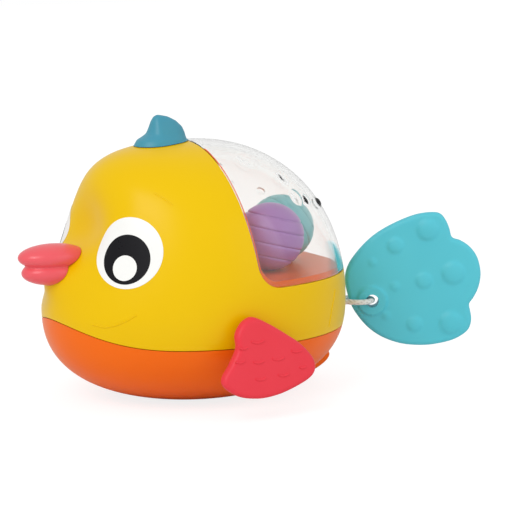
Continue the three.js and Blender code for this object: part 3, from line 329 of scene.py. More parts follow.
# %% Cord between guide and ferrule
RUN_START, RUN_END, RUN_RINGS, RUN_SIDES = 60.6, 64.4, 30, 16
run_points = [
    (x, CORD_RADIUS * math.cos(a), CORD_HEIGHT + CORD_RADIUS * math.sin(a))
    for x in np.linspace(RUN_START, RUN_END, RUN_RINGS) for a in round_angles(RUN_SIDES)
]
cord_run = new_piece("pull_cord_run", run_points, capped_faces(RUN_RINGS, RUN_SIDES))
face_outwards(cord_run)
settle(cord_run)
cord_run.data.materials.append(braided_nylon)
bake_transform(cord_run)
print("cord run:", len(cord_run.data.polygons), "faces")

# %% [markdown]
# The body is one smooth egg with a full brow. A raised snout, a hollow bridge over it and two shallow eye
# sockets shape the face. Sculpting could reach it, but the moulded form follows a rule: at each height it is
# an oval whose half sizes shrink towards the crown. The same rule, in the same millimetres as the CAD, lets
# every other piece find the surface it sits on.

# %% Body form
HALF_LENGTH, HALF_WIDTH, CROWN, WAIST, SINK = 62.6, 52.0, 100.6, 36.0, 0.9
HULL_FULL, BROW_FULL, BACK_FULL, SIDE_FULL = 2.45, 2.9, 2.1, 2.15
DIP, DIP_TOP, DIP_SHARP = 9.0, 97.0, 1.3
SNOUT = dict(rise=9.0, y=0.0, wide=13.0, z=52.0, tall=9.5)
BRIDGE = dict(rise=-5.4, y=0.0, wide=14.0, z=68.0, tall=15.0)
SOCKET = dict(rise=1.4, y=21.0, wide=9.0, z=66.0, tall=14.0)
FACE_BACK = -15
BASE_TURN = math.asin((WAIST / (WAIST + SINK)) ** (HULL_FULL / 2))


def face_relief(y, z):
    """How far the snout and the eye sockets stand out of the plain egg, and how far the bridge lies in."""
    total = 0.0
    for part in (SNOUT, BRIDGE, SOCKET):
        off = (np.abs(y) - part["y"]) / part["wide"], (z - part["z"]) / part["tall"]
        total = total + part["rise"] * np.exp(-off[0] ** 2 - off[1] ** 2)
    return total


def half_sizes(z):
    z = np.asarray(z, float)
    drop = np.clip((WAIST - z) / (WAIST + SINK), 0, 1)
    hull = np.maximum(0, 1 - drop ** HULL_FULL) ** (1 / HULL_FULL)
    rise = np.clip((z - WAIST) / (CROWN - WAIST), 0, 1)
    dip = DIP * np.maximum(0, np.sin(np.pi * np.clip((z - WAIST) / (DIP_TOP - WAIST), 0, 1))) ** DIP_SHARP
    front, rear, side = (np.maximum(0, 1 - rise ** n) ** (1 / n) for n in (BROW_FULL, BACK_FULL, SIDE_FULL))
    low = z <= WAIST
    return (np.where(low, HALF_LENGTH * hull, HALF_LENGTH * front - dip),
            np.where(low, HALF_LENGTH * hull, HALF_LENGTH * rear),
            np.where(low, HALF_WIDTH * hull, HALF_WIDTH * side))


def level_height(level):
    level = np.asarray(level, float)
    drop = np.sin(np.clip(-level, 0, 1) * BASE_TURN) ** (2 / HULL_FULL)
    rise = np.sin(np.clip(level, 0, 1) * np.pi / 2) ** (2 / SIDE_FULL)
    return np.where(level <= 0, WAIST - (WAIST + SINK) * drop, WAIST + (CROWN - WAIST) * rise)


def body_points(level, angle):
    level, angle = np.broadcast_arrays(np.asarray(level, float), np.asarray(angle, float))
    z = level_height(level)
    front, rear, side = half_sizes(z)
    along = np.cos(angle)
    y = side * np.sin(angle)
    ahead = face_relief(y, z) * np.clip(-along * 4, 0, 1)
    return np.stack([np.where(along > 0, rear, front) * along - ahead, y, z], -1)


def inset_points(level, angle, inset):
    step = 1e-4
    above, below = np.minimum(level + step, 1 - step), np.maximum(level - step, -1)
    up = body_points(above, angle) - body_points(below, angle)
    round_ = body_points(level, angle + step) - body_points(level, angle - step)
    normal = np.cross(round_, up)
    normal /= np.maximum(np.linalg.norm(normal, axis=-1, keepdims=True), 1e-12)
    return body_points(level, angle) - normal * inset


print("crown at", CROWN, "mm, stern at", round(float(body_points(0, 0)[0]), 1), "mm")


# %% Finding the body's surface
def beyond(points):
    x, y, z = np.moveaxis(points, -1, 0)
    front, rear, side = half_sizes(z)
    x = np.where(x < FACE_BACK, x + face_relief(y, z), x)
    length = np.maximum(np.where(x > 0, rear, front), 1e-6)
    return (x / length) ** 2 + (y / np.maximum(side, 1e-6)) ** 2 - 1


def height_above(points):
    """Distance over the body surface and the direction away from it, to first order."""
    step = 1e-3
    slope = np.stack([(beyond(points + d) - beyond(points - d)) / (2 * step) for d in np.eye(3) * step], -1)
    size = np.maximum(np.linalg.norm(slope, axis=-1), 1e-9)
    return beyond(points) / size, slope / size[..., None]


def nose_front(y, z):
    front, _, side = half_sizes(z)
    return -front * np.sqrt(np.maximum(0, 1 - (y / np.maximum(side, 1e-6)) ** 2)) - face_relief(y, z)


def halve(low, high, test, rounds=50):
    """Closes in from both ends on the place where the test turns from true to false."""
    for _ in range(rounds):
        middle = (low + high) / 2
        hit = test(middle)
        low, high = np.where(hit, middle, low), np.where(hit, high, middle)
    return low, high


def roof_height(x, y):
    ends = np.full(np.shape(x), WAIST), np.full(np.shape(x), CROWN)
    return halve(*ends, lambda z: beyond(np.stack([x, y, z], -1)) < 0)[0]


def on_body(origin, direction, reach=150.0):
    ends = np.zeros(direction.shape[:-1]), np.full(direction.shape[:-1], reach)
    near, _ = halve(*ends, lambda d: beyond(origin + direction * d[..., None]) < 0, rounds=60)
    return origin + direction * near[..., None]


print("roof over the middle at", round(float(roof_height(0.0, 0.0)), 1), "mm")

# %% [markdown]
# Two lines divide the body. The parting seam runs level along the sides and rises at the bow, and the
# window for the clear dome has a leaning front edge, a rounded corner and a level sill. Cutting a finished
# mesh with booleans would leave ragged rims, so the rows of faces are laid from line to line instead.

# %% Seam and window lines
SEAM, BOW_RISE, BOW_START, BOW_CURVE = 26.0, 8.0, 15.0, 4
SILL, CORNER_X, CORNER_R, LEAN = 48.0, 9.7, 9.5, math.radians(6.4)
SEAT_GAP, WALL = 0.3, 2.2


def seam_height(x):
    return SEAM + BOW_RISE * np.maximum(0, (-x - BOW_START) / (HALF_LENGTH - BOW_START)) ** BOW_CURVE


def window_depth(x, z, grow):
    radius = CORNER_R + grow
    qx, qz = x - CORNER_X, z - (SILL + CORNER_R)
    from_edge = qx * math.cos(LEAN) + qz * math.sin(LEAN) + radius
    towards_edge = -qx / math.cos(LEAN)
    in_corner = (towards_edge > 0) & (-qz - towards_edge * math.sin(LEAN) > 0)
    return np.where(in_corner, radius - np.hypot(qx, qz), np.minimum(from_edge, qz + radius))


def crossing(angle, low, high, test):
    """Level between low and high where the test along each upright line turns from false to true."""
    return halve(low, high, lambda level: ~test(body_points(level, angle)))[1]


def seam_level(angle, lift):
    ends = np.full(angle.shape, -1.0), np.full(angle.shape, 0.9)
    return crossing(angle, *ends, lambda p: p[..., 2] > seam_height(p[..., 0]) + lift)


def window_level(angle, grow):
    ladder = np.linspace(-0.3, 1 - 1e-6, 400)
    spots = body_points(ladder[:, None], angle[None, :])
    first = np.argmax(window_depth(spots[..., 0], spots[..., 2], grow) > 0, axis=0)
    return crossing(angle, ladder[first - 1], ladder[first],
                    lambda p: window_depth(p[..., 0], p[..., 2], grow) > 0)


def travelled(points):
    return np.concatenate([[0], np.cumsum(np.linalg.norm(np.diff(points, axis=0), axis=1))])


def window_angles(count, grow, seam_share):
    """Angles round the body that space columns evenly along the window's edge and along the seam."""
    close = np.pi / 2 + np.sinh(np.linspace(-5, 5, 2500)) / math.sinh(5) * np.pi / 2
    angle = np.unique(np.concatenate([close, np.linspace(0, np.pi, 1500)]))
    lengths = []
    for level in (window_level(angle, grow), seam_level(angle, SEAT_GAP)):
        way = travelled(body_points(level, angle))
        lengths.append(way / way[-1])
    even = (1 - seam_share) * lengths[0] + seam_share * lengths[1]
    half = np.interp(np.linspace(0, 1, count), even, angle)
    return np.concatenate([half, 2 * np.pi - half[-2:0:-1]])


WINDOW_COLUMNS = 150
shell_angles = window_angles(WINDOW_COLUMNS, 0, 0.5)
print("columns round the shell:", len(shell_angles))

# %% [markdown]
# The yellow upper shell is one moulding with an even wall. Rows from the seam to the window edge give its
# outside, Solidify gives the wall, and a small Bevel rounds the rims as a mould does. The holes for the
# axle bushes and the cord guide are cut before the Bevel, so they get a rounded rim too.

# %% Upper shell
AXLE_X, AXLE_Z, BUSH_HOLE, GUIDE_HOLE = -5.0, 29.0, 4.38, 2.5


def round_bar(radius, start, end, axis, centre, sides=48):
    angles = round_angles(sides)
    ring = np.stack([radius * np.cos(angles), radius * np.sin(angles)], -1)
    order = {"x": (2, 0, 1), "y": (0, 2, 1), "z": (0, 1, 2)}[axis]
    points = [np.concatenate([p, [along]])[list(order)] + centre for along in (start, end) for p in ring]
    made = new_piece("tool", points, capped_faces(2, sides))
    face_outwards(made)
    return made


def side_holes():
    return [round_bar(BUSH_HOLE, side * 40, side * 80, "y", (AXLE_X, 0, AXLE_Z)) for side in (-1, 1)]


SHELL_ROWS = 70
shell_low = seam_level(shell_angles, SEAT_GAP)
shell_high = window_level(shell_angles, 0)
shell_steps = np.linspace(0, 1, SHELL_ROWS)[:, None]
shell_points = body_points(shell_low + (shell_high - shell_low) * shell_steps, shell_angles[None, :])
shell_faces = grid_faces(SHELL_ROWS, len(shell_angles))
upper_shell = new_piece("upper_shell_skin", shell_points.reshape(-1, 3), shell_faces)
modify(upper_shell, "SOLIDIFY", thickness=WALL * MM, offset=-1)
settle(upper_shell)
cut_with(upper_shell, [*side_holes(), round_bar(GUIDE_HOLE, 40, 80, "x", (0, 0, CORD_HEIGHT))], "DIFFERENCE")
round_rims(upper_shell, 0.45, segments=3)
dress(upper_shell, yellow_abs, "body", "yellow_shell", "upper_shell")

# %% [markdown]
# The orange hull is the lower moulding. It has a flat base, a heel under the stern and four wells for the
# screws, so it is built as a solid: outside, plus heel, minus inside, minus wells. Booleans suit it,
# because its cuts are plain cylinders on a fine, even grid.

# %% Lower hull
POSTS = [(-20, -9.5), (20, -32), (-20, 9.5), (20, 32)]
WELL_RADIUS, WELL_TOP, HEEL_HALF = 2.9, 15.0, 9
HULL_ROWS, HULL_COLUMNS, INSIDE_LEVEL = 44, 220, 0.4
HEEL = [(27.25, 0), (38, 0), (58, 5.6), (58, 10.2), (57, 13), (27.25, 13)]


def hull_solid(name, angles, top_level, inset):
    levels = -1 + (top_level + 1) * np.linspace(0, 1, HULL_ROWS)[:, None]
    points = inset_points(levels, np.broadcast_to(angles, levels.shape[:1] + angles.shape), inset)
    points[0, :, 2] = inset
    count = len(angles)
    foot, lid = [0, 0, inset], [0, 0, float(points[-1, :, 2].mean())]
    faces = grid_faces(HULL_ROWS, count)
    total, last = HULL_ROWS * count, (HULL_ROWS - 1) * count
    faces += [(total, (c + 1) % count, c) for c in range(count)]
    faces += [(total + 1, last + c, last + (c + 1) % count) for c in range(count)]
    return new_piece(name, np.vstack([points.reshape(-1, 3), foot, lid]), faces)


hull_angles = round_angles(HULL_COLUMNS)
lower_hull = hull_solid("lower_hull_skin", hull_angles, seam_level(hull_angles, 0), 0)
inside = hull_solid("tool", hull_angles, np.full(hull_angles.shape, INSIDE_LEVEL), WALL)
bend = [(1 - t) ** 2 * np.array(HEEL[1]) + 2 * t * (1 - t) * np.array(HEEL[2]) + t * t * np.array(HEEL[3])
        for t in np.linspace(0, 1, 12)]
heel_line = [HEEL[0], *map(tuple, bend), HEEL[4], HEEL[5]]
heel_points = [(x, y, z) for y in (-HEEL_HALF, HEEL_HALF) for x, z in heel_line]
heel = new_piece("tool", heel_points, capped_faces(2, len(heel_line)))
face_outwards(heel)
round_rims(heel, 1.2, segments=4)
cut_with(lower_hull, [heel], "UNION")
wells = [round_bar(WELL_RADIUS, -5, WELL_TOP, "z", (x, y, 0)) for x, y in POSTS]
cut_with(lower_hull, [inside, *side_holes(), *wells], "DIFFERENCE")
round_rims(lower_hull, 0.35, segments=3)
dress(lower_hull, orange_abs, "body", "orange_hull", "lower_hull")

# %% [markdown]
# The clear dome fills the window flush with the body. Its patch has one closed edge, so its faces fan out
# in rings from a point near the top, and each ring is thrown onto the body form. Real wall thickness
# matters here: light bends once on the way in and once on the way out, which gives the bright rim. The
# round lenses that stand out of it are raised on its outer face only, as they are in the mould.

# %% Clear dome
DOME_RINGS = 80
# Centre and radius of each round lens on the left side
BUBBLES = [
    ((10.5, -23.3, 94.0), 4.4), ((24.2, -27.5, 86.6), 3.2), ((26.8, -33.0, 79.6), 3.4),
    ((32.8, -30.7, 77.8), 2.6), ((43.4, -22.3, 75.3), 2.0),
]
BUBBLE_RISE = 1.0
DOME_HEART = np.array([22.0, 0.0, 45.0])
dome_angles = window_angles(WINDOW_COLUMNS, -SEAT_GAP, 0.1)
dome_edge = body_points(window_level(dome_angles, -SEAT_GAP), dome_angles)
edge_ways = dome_edge - DOME_HEART
edge_ways /= np.linalg.norm(edge_ways, axis=1, keepdims=True)
top_way = np.array([0.55, 0.0, 0.835])
top_way /= np.linalg.norm(top_way)
opening = np.arccos(np.clip(edge_ways @ top_way, -1, 1))
dome_rows = []
for share in np.linspace(1, 0, DOME_RINGS, endpoint=False):
    part = np.sin((1 - share) * opening)[:, None] * top_way + np.sin(share * opening)[:, None] * edge_ways
    dome_rows.append(on_body(DOME_HEART, part / np.sin(opening)[:, None]) if share < 1 else dome_edge)
dome_top = on_body(DOME_HEART, top_way[None, :])
dome_count = len(dome_angles)
dome_faces = grid_faces(DOME_RINGS, dome_count)
dome_last = (DOME_RINGS - 1) * dome_count
dome_faces += [(dome_last + c, dome_last + (c + 1) % dome_count, DOME_RINGS * dome_count)
               for c in range(dome_count)]
dome = new_piece("dome_window_skin", np.vstack([*dome_rows, dome_top]), dome_faces)
modify(dome, "SOLIDIFY", thickness=WALL * MM, offset=-1)
round_rims(dome, 0.3, segments=2)
print("dome without lenses:", len(dome.data.polygons), "faces")

# %% Lenses on the dome
dome_spots = spots_of(dome)
dome_height, dome_away = height_above(dome_spots)
for centre, radius in [(np.array(c) * (1, s, 1), r) for c, r in BUBBLES for s in (-1, 1)]:
    near = np.linalg.norm(dome_spots - centre, axis=1) / radius
    lens_rise = BUBBLE_RISE * np.sqrt(np.clip(1 - near ** 2, 0, 1)) * (dome_height > -0.3)
    dome_spots = dome_spots + dome_away * lens_rise[:, None]
move_spots(dome, dome_spots)
dress(dome, clear_ps, "body", "clear_dome", "dome_window")

# %% [markdown]
# Under the dome lies the orange tray: a level floor, a rounded corner and a leaning front wall, with a rim
# that backs the window's edge. The rim shows as the thin band just inside the yellow. Floor and wall are
# one sheet along the window's own outline, and the rim is a band along the same line.

# %% Ball tray
TRAY_WALL, TRAY_SEAT, TRAY_END, TRAY_TOP = 2.0, 2.6, 57.6, 97.3
TRAY_STEPS, TRAY_COLUMNS = 34, 40


def half_width_inside(x, z, inset):
    ends = np.zeros_like(x), np.full_like(x, HALF_WIDTH)
    return halve(*ends, lambda y: height_above(np.stack([x, y, z], -1))[0] < -inset)[0]


corner_z = SILL + CORNER_R
bend_radius = CORNER_R - TRAY_WALL
floor_x = CORNER_X + (TRAY_END - CORNER_X) * np.sin(np.linspace(np.pi / 2, 0, TRAY_STEPS))
turns = np.linspace(1.5 * np.pi, np.pi + LEAN, 14)[1:]
bend_x, bend_z = CORNER_X + bend_radius * np.cos(turns), corner_z + bend_radius * np.sin(turns)
wall_z = bend_z[-1] + (TRAY_TOP - bend_z[-1]) * np.sin(np.linspace(0, np.pi / 2, TRAY_STEPS))[1:]
wall_x = bend_x[-1] - (wall_z - bend_z[-1]) * math.tan(LEAN)
tray_x = np.concatenate([floor_x, bend_x, wall_x])
tray_z = np.concatenate([np.full(TRAY_STEPS, SILL + TRAY_WALL), bend_z, wall_z])
tray_half = half_width_inside(tray_x, tray_z, TRAY_SEAT)
across = np.linspace(-1, 1, TRAY_COLUMNS)
tray_points = np.stack([
    np.repeat(tray_x, TRAY_COLUMNS), np.outer(tray_half, across).ravel(), np.repeat(tray_z, TRAY_COLUMNS),
], -1)
tray_panel = new_piece("ball_tray_panel", tray_points, grid_faces(len(tray_x), TRAY_COLUMNS, closed=False))
modify(tray_panel, "SOLIDIFY", thickness=TRAY_WALL * MM, offset=-1)
settle(tray_panel)
face_outwards(tray_panel)
dress(tray_panel, orange_abs, "body", "orange_hull", "ball_tray")

# %% Rim of the tray
RIM_OUT, RIM_IN, RIM_WALL, RIM_ROWS, RIM_COLUMNS = 3.0, 1.4, 1.6, 7, 120
rim_rows = []
for widen in np.linspace(RIM_OUT, -RIM_IN, RIM_ROWS):
    rim_angles = window_angles(RIM_COLUMNS, widen, 0.1)
    rim_rows.append(inset_points(window_level(rim_angles, widen), rim_angles, TRAY_SEAT))
tray_rim = new_piece("ball_tray_rim", np.vstack(rim_rows), grid_faces(RIM_ROWS, len(rim_angles)))
modify(tray_rim, "SOLIDIFY", thickness=RIM_WALL * MM, offset=-1)
settle(tray_rim)
dress(tray_rim, orange_abs, "body", "orange_hull", "ball_tray")

# %% [markdown]
# Two ribbed balls rattle under the dome. Each rib is the same step of latitude, so a rule makes them: a
# Geometry Nodes tree takes a plain ball and draws its surface in wherever the latitude meets a groove.
# Changing one number then changes all the grooves of a ball together.

# %% Geometry Nodes tree for a grooved ball
def new_tree(name, sizes):
    tree = bpy.data.node_groups.new(name, "GeometryNodeTree")
    tree.interface.new_socket("Geometry", in_out="INPUT", socket_type="NodeSocketGeometry")
    for label, value in sizes.items():
        socket = tree.interface.new_socket(label, in_out="INPUT", socket_type="NodeSocketFloat")
        socket.default_value = value
    tree.interface.new_socket("Geometry", in_out="OUTPUT", socket_type="NodeSocketGeometry")
    return tree, add_node(tree, "NodeGroupInput")


def close_tree(tree, geometry, material):
    real = add_node(tree, "GeometryNodeRealizeInstances", {"Geometry": geometry})
    painted = add_node(tree, "GeometryNodeSetMaterial", {"Geometry": real.outputs[0], "Material": material})
    add_node(tree, "NodeGroupOutput", {"Geometry": painted.outputs[0]})


def close_with_bead(tree, curve, radius, sides, material):
    """Ends a tree with a round bead that is swept along a curve."""
    bead = add_node(tree, "GeometryNodeCurvePrimitiveCircle", {"Resolution": sides, "Radius": radius})
    tube = add_node(tree, "GeometryNodeCurveToMesh", {
        "Curve": curve, "Profile Curve": bead.outputs["Curve"], "Fill Caps": True,
    })
    close_tree(tree, tube.outputs[0], material)


def grow(obj, tree, **sizes):
    made = obj.modifiers.new("nodes", "NODES")
    made.node_group = tree
    for item in tree.interface.items_tree:
        if item.item_type == "SOCKET" and item.in_out == "INPUT" and item.name.replace(" ", "_") in sizes:
            made[item.identifier] = sizes[item.name.replace(" ", "_")]
    return settle(obj)


BALL_RADIUS, BALL_HEIGHT, LAST_GROOVE = 13.25, 63.55, 47.0


def ball_tree(material):
    tree, sizes = new_tree("grooved_ball", {
        "Radius": BALL_RADIUS * MM, "Depth": 0.4 * MM, "Step": 24.0, "Half Width": 2.6,
    })
    ball = add_node(tree, "GeometryNodeMeshUVSphere", {
        "Segments": 96, "Rings": 120, "Radius": sizes.outputs["Radius"],
    })
    spot = add_node(tree, "GeometryNodeInputPosition").outputs[0]
    up = add_node(tree, "ShaderNodeSeparateXYZ", {0: spot}).outputs["Z"]
    sine = add_node(tree, "ShaderNodeMath", {0: up, 1: sizes.outputs["Radius"]}, operation="DIVIDE")
    arc = add_node(tree, "ShaderNodeMath", {0: sine.outputs[0]}, operation="ARCSINE")
    latitude = add_node(tree, "ShaderNodeMath", {0: arc.outputs[0]}, operation="DEGREES").outputs[0]
    count = add_node(tree, "ShaderNodeMath", {0: latitude, 1: sizes.outputs["Step"]}, operation="DIVIDE")
    within = add_node(tree, "ShaderNodeMath", {0: count.outputs[0], 1: 1.0}, operation="FLOORED_MODULO")
    off = add_node(tree, "ShaderNodeMath", {0: within.outputs[0], 1: 0.5}, operation="SUBTRACT")
    away = add_node(tree, "ShaderNodeMath", {0: off.outputs[0]}, operation="ABSOLUTE")
    degrees = add_node(tree, "ShaderNodeMath", {0: away.outputs[0], 1: sizes.outputs["Step"]},
                       operation="MULTIPLY")
    notch = add_node(tree, "ShaderNodeMapRange", {
        "Value": degrees.outputs[0], "From Min": sizes.outputs["Half Width"], "From Max": 0.0,
    }, interpolation_type="SMOOTHSTEP")
    steep = add_node(tree, "ShaderNodeMath", {0: latitude}, operation="ABSOLUTE")
    banded = add_node(tree, "ShaderNodeMath", {0: steep.outputs[0], 1: LAST_GROOVE}, operation="LESS_THAN")
    drawn = add_node(tree, "ShaderNodeMath", {0: notch.outputs[0], 1: banded.outputs[0]},
                     operation="MULTIPLY")
    sunk = add_node(tree, "ShaderNodeMath", {0: drawn.outputs[0], 1: sizes.outputs["Depth"]},
                    operation="MULTIPLY")
    back = add_node(tree, "ShaderNodeMath", {0: sunk.outputs[0], 1: -1.0}, operation="MULTIPLY")
    out = add_node(tree, "ShaderNodeVectorMath", {0: spot}, operation="NORMALIZE").outputs[0]
    shift = add_node(tree, "ShaderNodeVectorMath", {0: out, "Scale": back.outputs[0]}, operation="SCALE")
    moved = add_node(tree, "GeometryNodeSetPosition", {
        "Geometry": ball.outputs["Mesh"], "Offset": shift.outputs[0],
    })
    close_tree(tree, moved.outputs[0], material)
    return tree


# %% Two rattle balls
for name, material, slot, tilt, spot in (
    ("purple_ball", violet_abs, "purple_ball", 14, (19.5, -25, BALL_HEIGHT)),
    ("teal_ball", mint_abs, "teal_ball", 55, (37, -4.5, BALL_HEIGHT)),
):
    ball = grow(new_piece(f"{name}_ribbed", [], []), ball_tree(material))
    ball.data.transform(Matrix.Translation(Vector(spot) * MM) @ Matrix.Rotation(math.radians(tilt), 4, "Y"))
    dress(ball, material, name, slot, name)

# %% [markdown]
# The lips are one soft moulding in two lobes with a crease between them. Two flattened balls give the
# lobes, and a voxel remesh melts them together with a soft crease, as rubber has. The points that would
# lie inside the head are then moved forward to rest on it, so the lips sit on the nose.

# %% Soft lips
LIPS_X, LIPS_HEIGHT, LIP_SPREAD = -62.0, 55.8, 3.0


def lobes(name, parts):
    shape = bmesh.new()
    for (x, y, z), (a, b, c) in parts:
        made = bmesh.ops.create_uvsphere(shape, u_segments=64, v_segments=32, radius=1)
        bmesh.ops.scale(shape, vec=Vector((a, b, c)) * MM, verts=made["verts"])
        bmesh.ops.translate(shape, vec=Vector((x, y, z)) * MM, verts=made["verts"])
    made = new_piece(name, [], [])
    shape.to_mesh(made.data)
    shape.free()
    return made


def melt(obj, voxel_mm, smoothing):
    modify(obj, "REMESH", mode="VOXEL", voxel_size=voxel_mm * MM)
    modify(obj, "SMOOTH", factor=0.5, iterations=smoothing)
    return settle(obj, 80)


lips = melt(lobes("lips_soft", [
    ((LIPS_X, 0, LIPS_HEIGHT + LIP_SPREAD), (14, 9.0, 4.9)),
    ((LIPS_X, 0, LIPS_HEIGHT - LIP_SPREAD), (12.6, 8.4, 5.0)),
]), voxel_mm=0.4, smoothing=5)
lip_spots = spots_of(lips)
lip_spots[:, 0] = np.minimum(lip_spots[:, 0], nose_front(lip_spots[:, 1], lip_spots[:, 2]) - SEAT_GAP)
move_spots(lips, lip_spots)
face_outwards(lips)
dress(lips, coral_tpe, "body", "coral_soft", "lips")

# %% [markdown]
# The fin on the back is a soft thumb with a shoulder in front. It is lofted through half-oval sections
# in the CAD's millimetres, a voxel remesh rounds its edges, and its foot is moved to lie on the crown.

# %% Back fin
FIN_TOP, FIN_DEPTH, FIN_X, FIN_FRONT, FIN_REAR, FIN_HALF = 111.0, 15.0, -16.4, 9.8, 13.0, 8.4
FIN_ROWS, FIN_SIDES = 60, 72
# Each row is a share of the height, then the share of the front, rear and half width at that height
FIN_STATIONS = np.array([
    (0, 1, 1, 1), (0.23, 0.96, 0.985, 0.955), (0.353, 0.85, 0.955, 0.845), (0.427, 0.626, 0.918, 0.733),
    (0.507, 0.43, 0.905, 0.64), (0.667, 0.33, 0.82, 0.50), (0.827, 0.26, 0.62, 0.36),
    (0.947, 0.16, 0.34, 0.22), (1, 0.02, 0.04, 0.04),
])
fin_heights = np.linspace(0, 1, FIN_ROWS)
front, rear, thick = (np.interp(fin_heights, FIN_STATIONS[:, 0], FIN_STATIONS[:, k]) for k in (1, 2, 3))
fin_points = [
    (FIN_X + (FIN_REAR * r if math.cos(a) > 0 else FIN_FRONT * f) * math.cos(a), FIN_HALF * t * math.sin(a),
     FIN_TOP - FIN_DEPTH * (1 - h))
    for h, f, r, t in zip(fin_heights, front, rear, thick) for a in round_angles(FIN_SIDES)
]
fin = new_piece("dorsal_fin_soft", fin_points, capped_faces(FIN_ROWS, FIN_SIDES))
face_outwards(fin)
melt(fin, voxel_mm=0.4, smoothing=5)
fin_spots = spots_of(fin)
fin_spots[:, 2] = np.maximum(fin_spots[:, 2], roof_height(fin_spots[:, 0], fin_spots[:, 1]) + SEAT_GAP)
move_spots(fin, fin_spots)
face_outwards(fin)
dress(fin, teal_tpe, "body", "teal_soft", "dorsal_fin")

# %% [markdown]
# Flippers and tail are plates with a full, rounded rim. A bevelled extrusion pinches at tight bends, so the
# outline is drawn in, ring by ring: the first rings turn the rim, and the rest fill the faces.

# %% Plates with a rounded rim
def smooth_outline(knots, count):
    knots = np.array(knots, float)
    fine = []
    for i in range(len(knots)):
        a, b, c, d = (knots[(i + k) % len(knots)] for k in (-1, 0, 1, 2))
        for t in np.linspace(0, 1, 24, endpoint=False):
            fine.append(0.5 * (2 * b + (c - a) * t + (2 * a - 5 * b + 4 * c - d) * t ** 2
                               + (3 * b - a - 3 * c + d) * t ** 3))
    fine = np.array(fine + fine[:1])
    way = travelled(fine)
    even = np.linspace(0, way[-1], count, endpoint=False)
    return np.stack([np.interp(even, way, fine[:, k]) for k in (0, 1)], -1)


def plate(name, knots, half, edge, count=240):
    line = smooth_outline(knots, count)
    run = np.roll(line, -1, 0) - np.roll(line, 1, 0)
    inward = np.stack([-run[:, 1], run[:, 0]], -1) / np.linalg.norm(run, axis=1, keepdims=True)
    area = np.sum(line[:, 0] * np.roll(line[:, 1], -1) - np.roll(line[:, 0], -1) * line[:, 1])
    inward *= np.sign(area)
    heart = line.mean(0)
    rings = [(line, 0.0)]
    for turn_ in np.linspace(0, np.pi / 2, 7):
        rings.append((line + inward * edge * (1 - math.cos(turn_)), half - edge + edge * math.sin(turn_)))
    rim = rings[-1][0]
    for share in np.linspace(1, 0.06, 14)[1:]:
        rings.append((heart + (rim - heart) * share, half))
    points = [np.insert(ring, 1, side * y, axis=1) for side in (-1, 1) for ring, y in rings]
    rows = len(rings)
    faces = []
    for part in (0, 1):
        base = part * rows * count
        faces += [tuple(base + v for v in face) for face in grid_faces(rows, count)]
        faces.append(tuple(base + (rows - 1) * count + c for c in range(count)))
    made = new_piece(name, np.vstack(points), faces)
    face_outwards(made)
    return made


def add_shape(obj, *others):
    """Joins closed shapes into one mesh."""
    shape = bmesh.new()
    shape.from_mesh(obj.data)
    for other in others:
        shape.from_mesh(other.data)
        bpy.data.objects.remove(other)
    shape.to_mesh(obj.data)
    shape.free()


# %% [markdown]
# Each flipper blade carries nine short raised arcs, like fish scales. They are one shape at nine places and
# sizes, so Geometry Nodes set a curved ridge on each point of a small cloud, scaled by a named attribute.

# %% Geometry Nodes tree for scale ridges
def ridge_tree(material):
    tree, sizes = new_tree("scale_ridges", {"Ridge Radius": 0.45 * MM, "Sweep": 64.0})
    sweep = add_node(tree, "ShaderNodeMath", {0: sizes.outputs["Sweep"]}, operation="RADIANS").outputs[0]
    half = add_node(tree, "ShaderNodeMath", {0: sweep, 1: -0.5}, operation="MULTIPLY").outputs[0]
    start = add_node(tree, "ShaderNodeMath", {0: half, 1: 1.5 * math.pi}, operation="ADD").outputs[0]
    arc = add_node(tree, "GeometryNodeCurveArc", {
        "Resolution": 14, "Radius": MM, "Start Angle": start, "Sweep Angle": sweep,
    })
    size = add_node(tree, "GeometryNodeInputNamedAttribute", {"Name": "size"}, data_type="FLOAT")
    placed = add_node(tree, "GeometryNodeInstanceOnPoints", {
        "Points": sizes.outputs["Geometry"], "Instance": arc.outputs["Curve"],
        "Rotation": (math.pi / 2, 0, 0), "Scale": size.outputs["Attribute"],
    })
    lines = add_node(tree, "GeometryNodeRealizeInstances", {"Geometry": placed.outputs[0]})
    close_with_bead(tree, lines.outputs[0], sizes.outputs["Ridge Radius"], 10, material)
    return tree


def point_cloud(name, spots, sizes):
    cloud = new_piece(name, spots, [])
    cloud.data.attributes.new("size", "FLOAT", "POINT").data.foreach_set("value", np.array(sizes, np.float32))
    return cloud


# %% Flippers
FLIPPER_LINE = [
    (-0.4, 9.9), (5.9, 6.8), (12.1, 2.9), (18.3, -1.5), (23, -7), (23.5, -11.5), (20.3, -14.8), (11.8, -18),
    (4.5, -19.6), (-2.6, -19.9), (-10.3, -18.4), (-15.7, -14.7), (-16.2, -11.2), (-12.4, -6.2), (-9.2, -1),
    (-9, 3.7), (-6.9, 7.2), (-4, 9.4),
]
SCALES = [
    (-0.8, 0.7, 2.6), (-7.1, -0.9, 1.7), (-9.1, -5.8, 1.9), (-1.3, -6.6, 2.1), (7.2, -6.3, 2.4),
    (15.6, -4.2, 2.2), (8.9, -12.4, 2.2), (17.5, -10.3, 1.3), (-1.1, -12.9, 2.1),
]
BLADE_Y, BLADE_THICK, BLADE_LEAN, BLADE_TOP, HUB_RADIUS, HUB_START = 53.8, 4.4, 0.2, 9.9, 7.0, 53.2
BLADE_EDGE, BORE_RADIUS, BORE_END, RIDGE_SINK = 1.7, 2.06, 57.4, 0.12


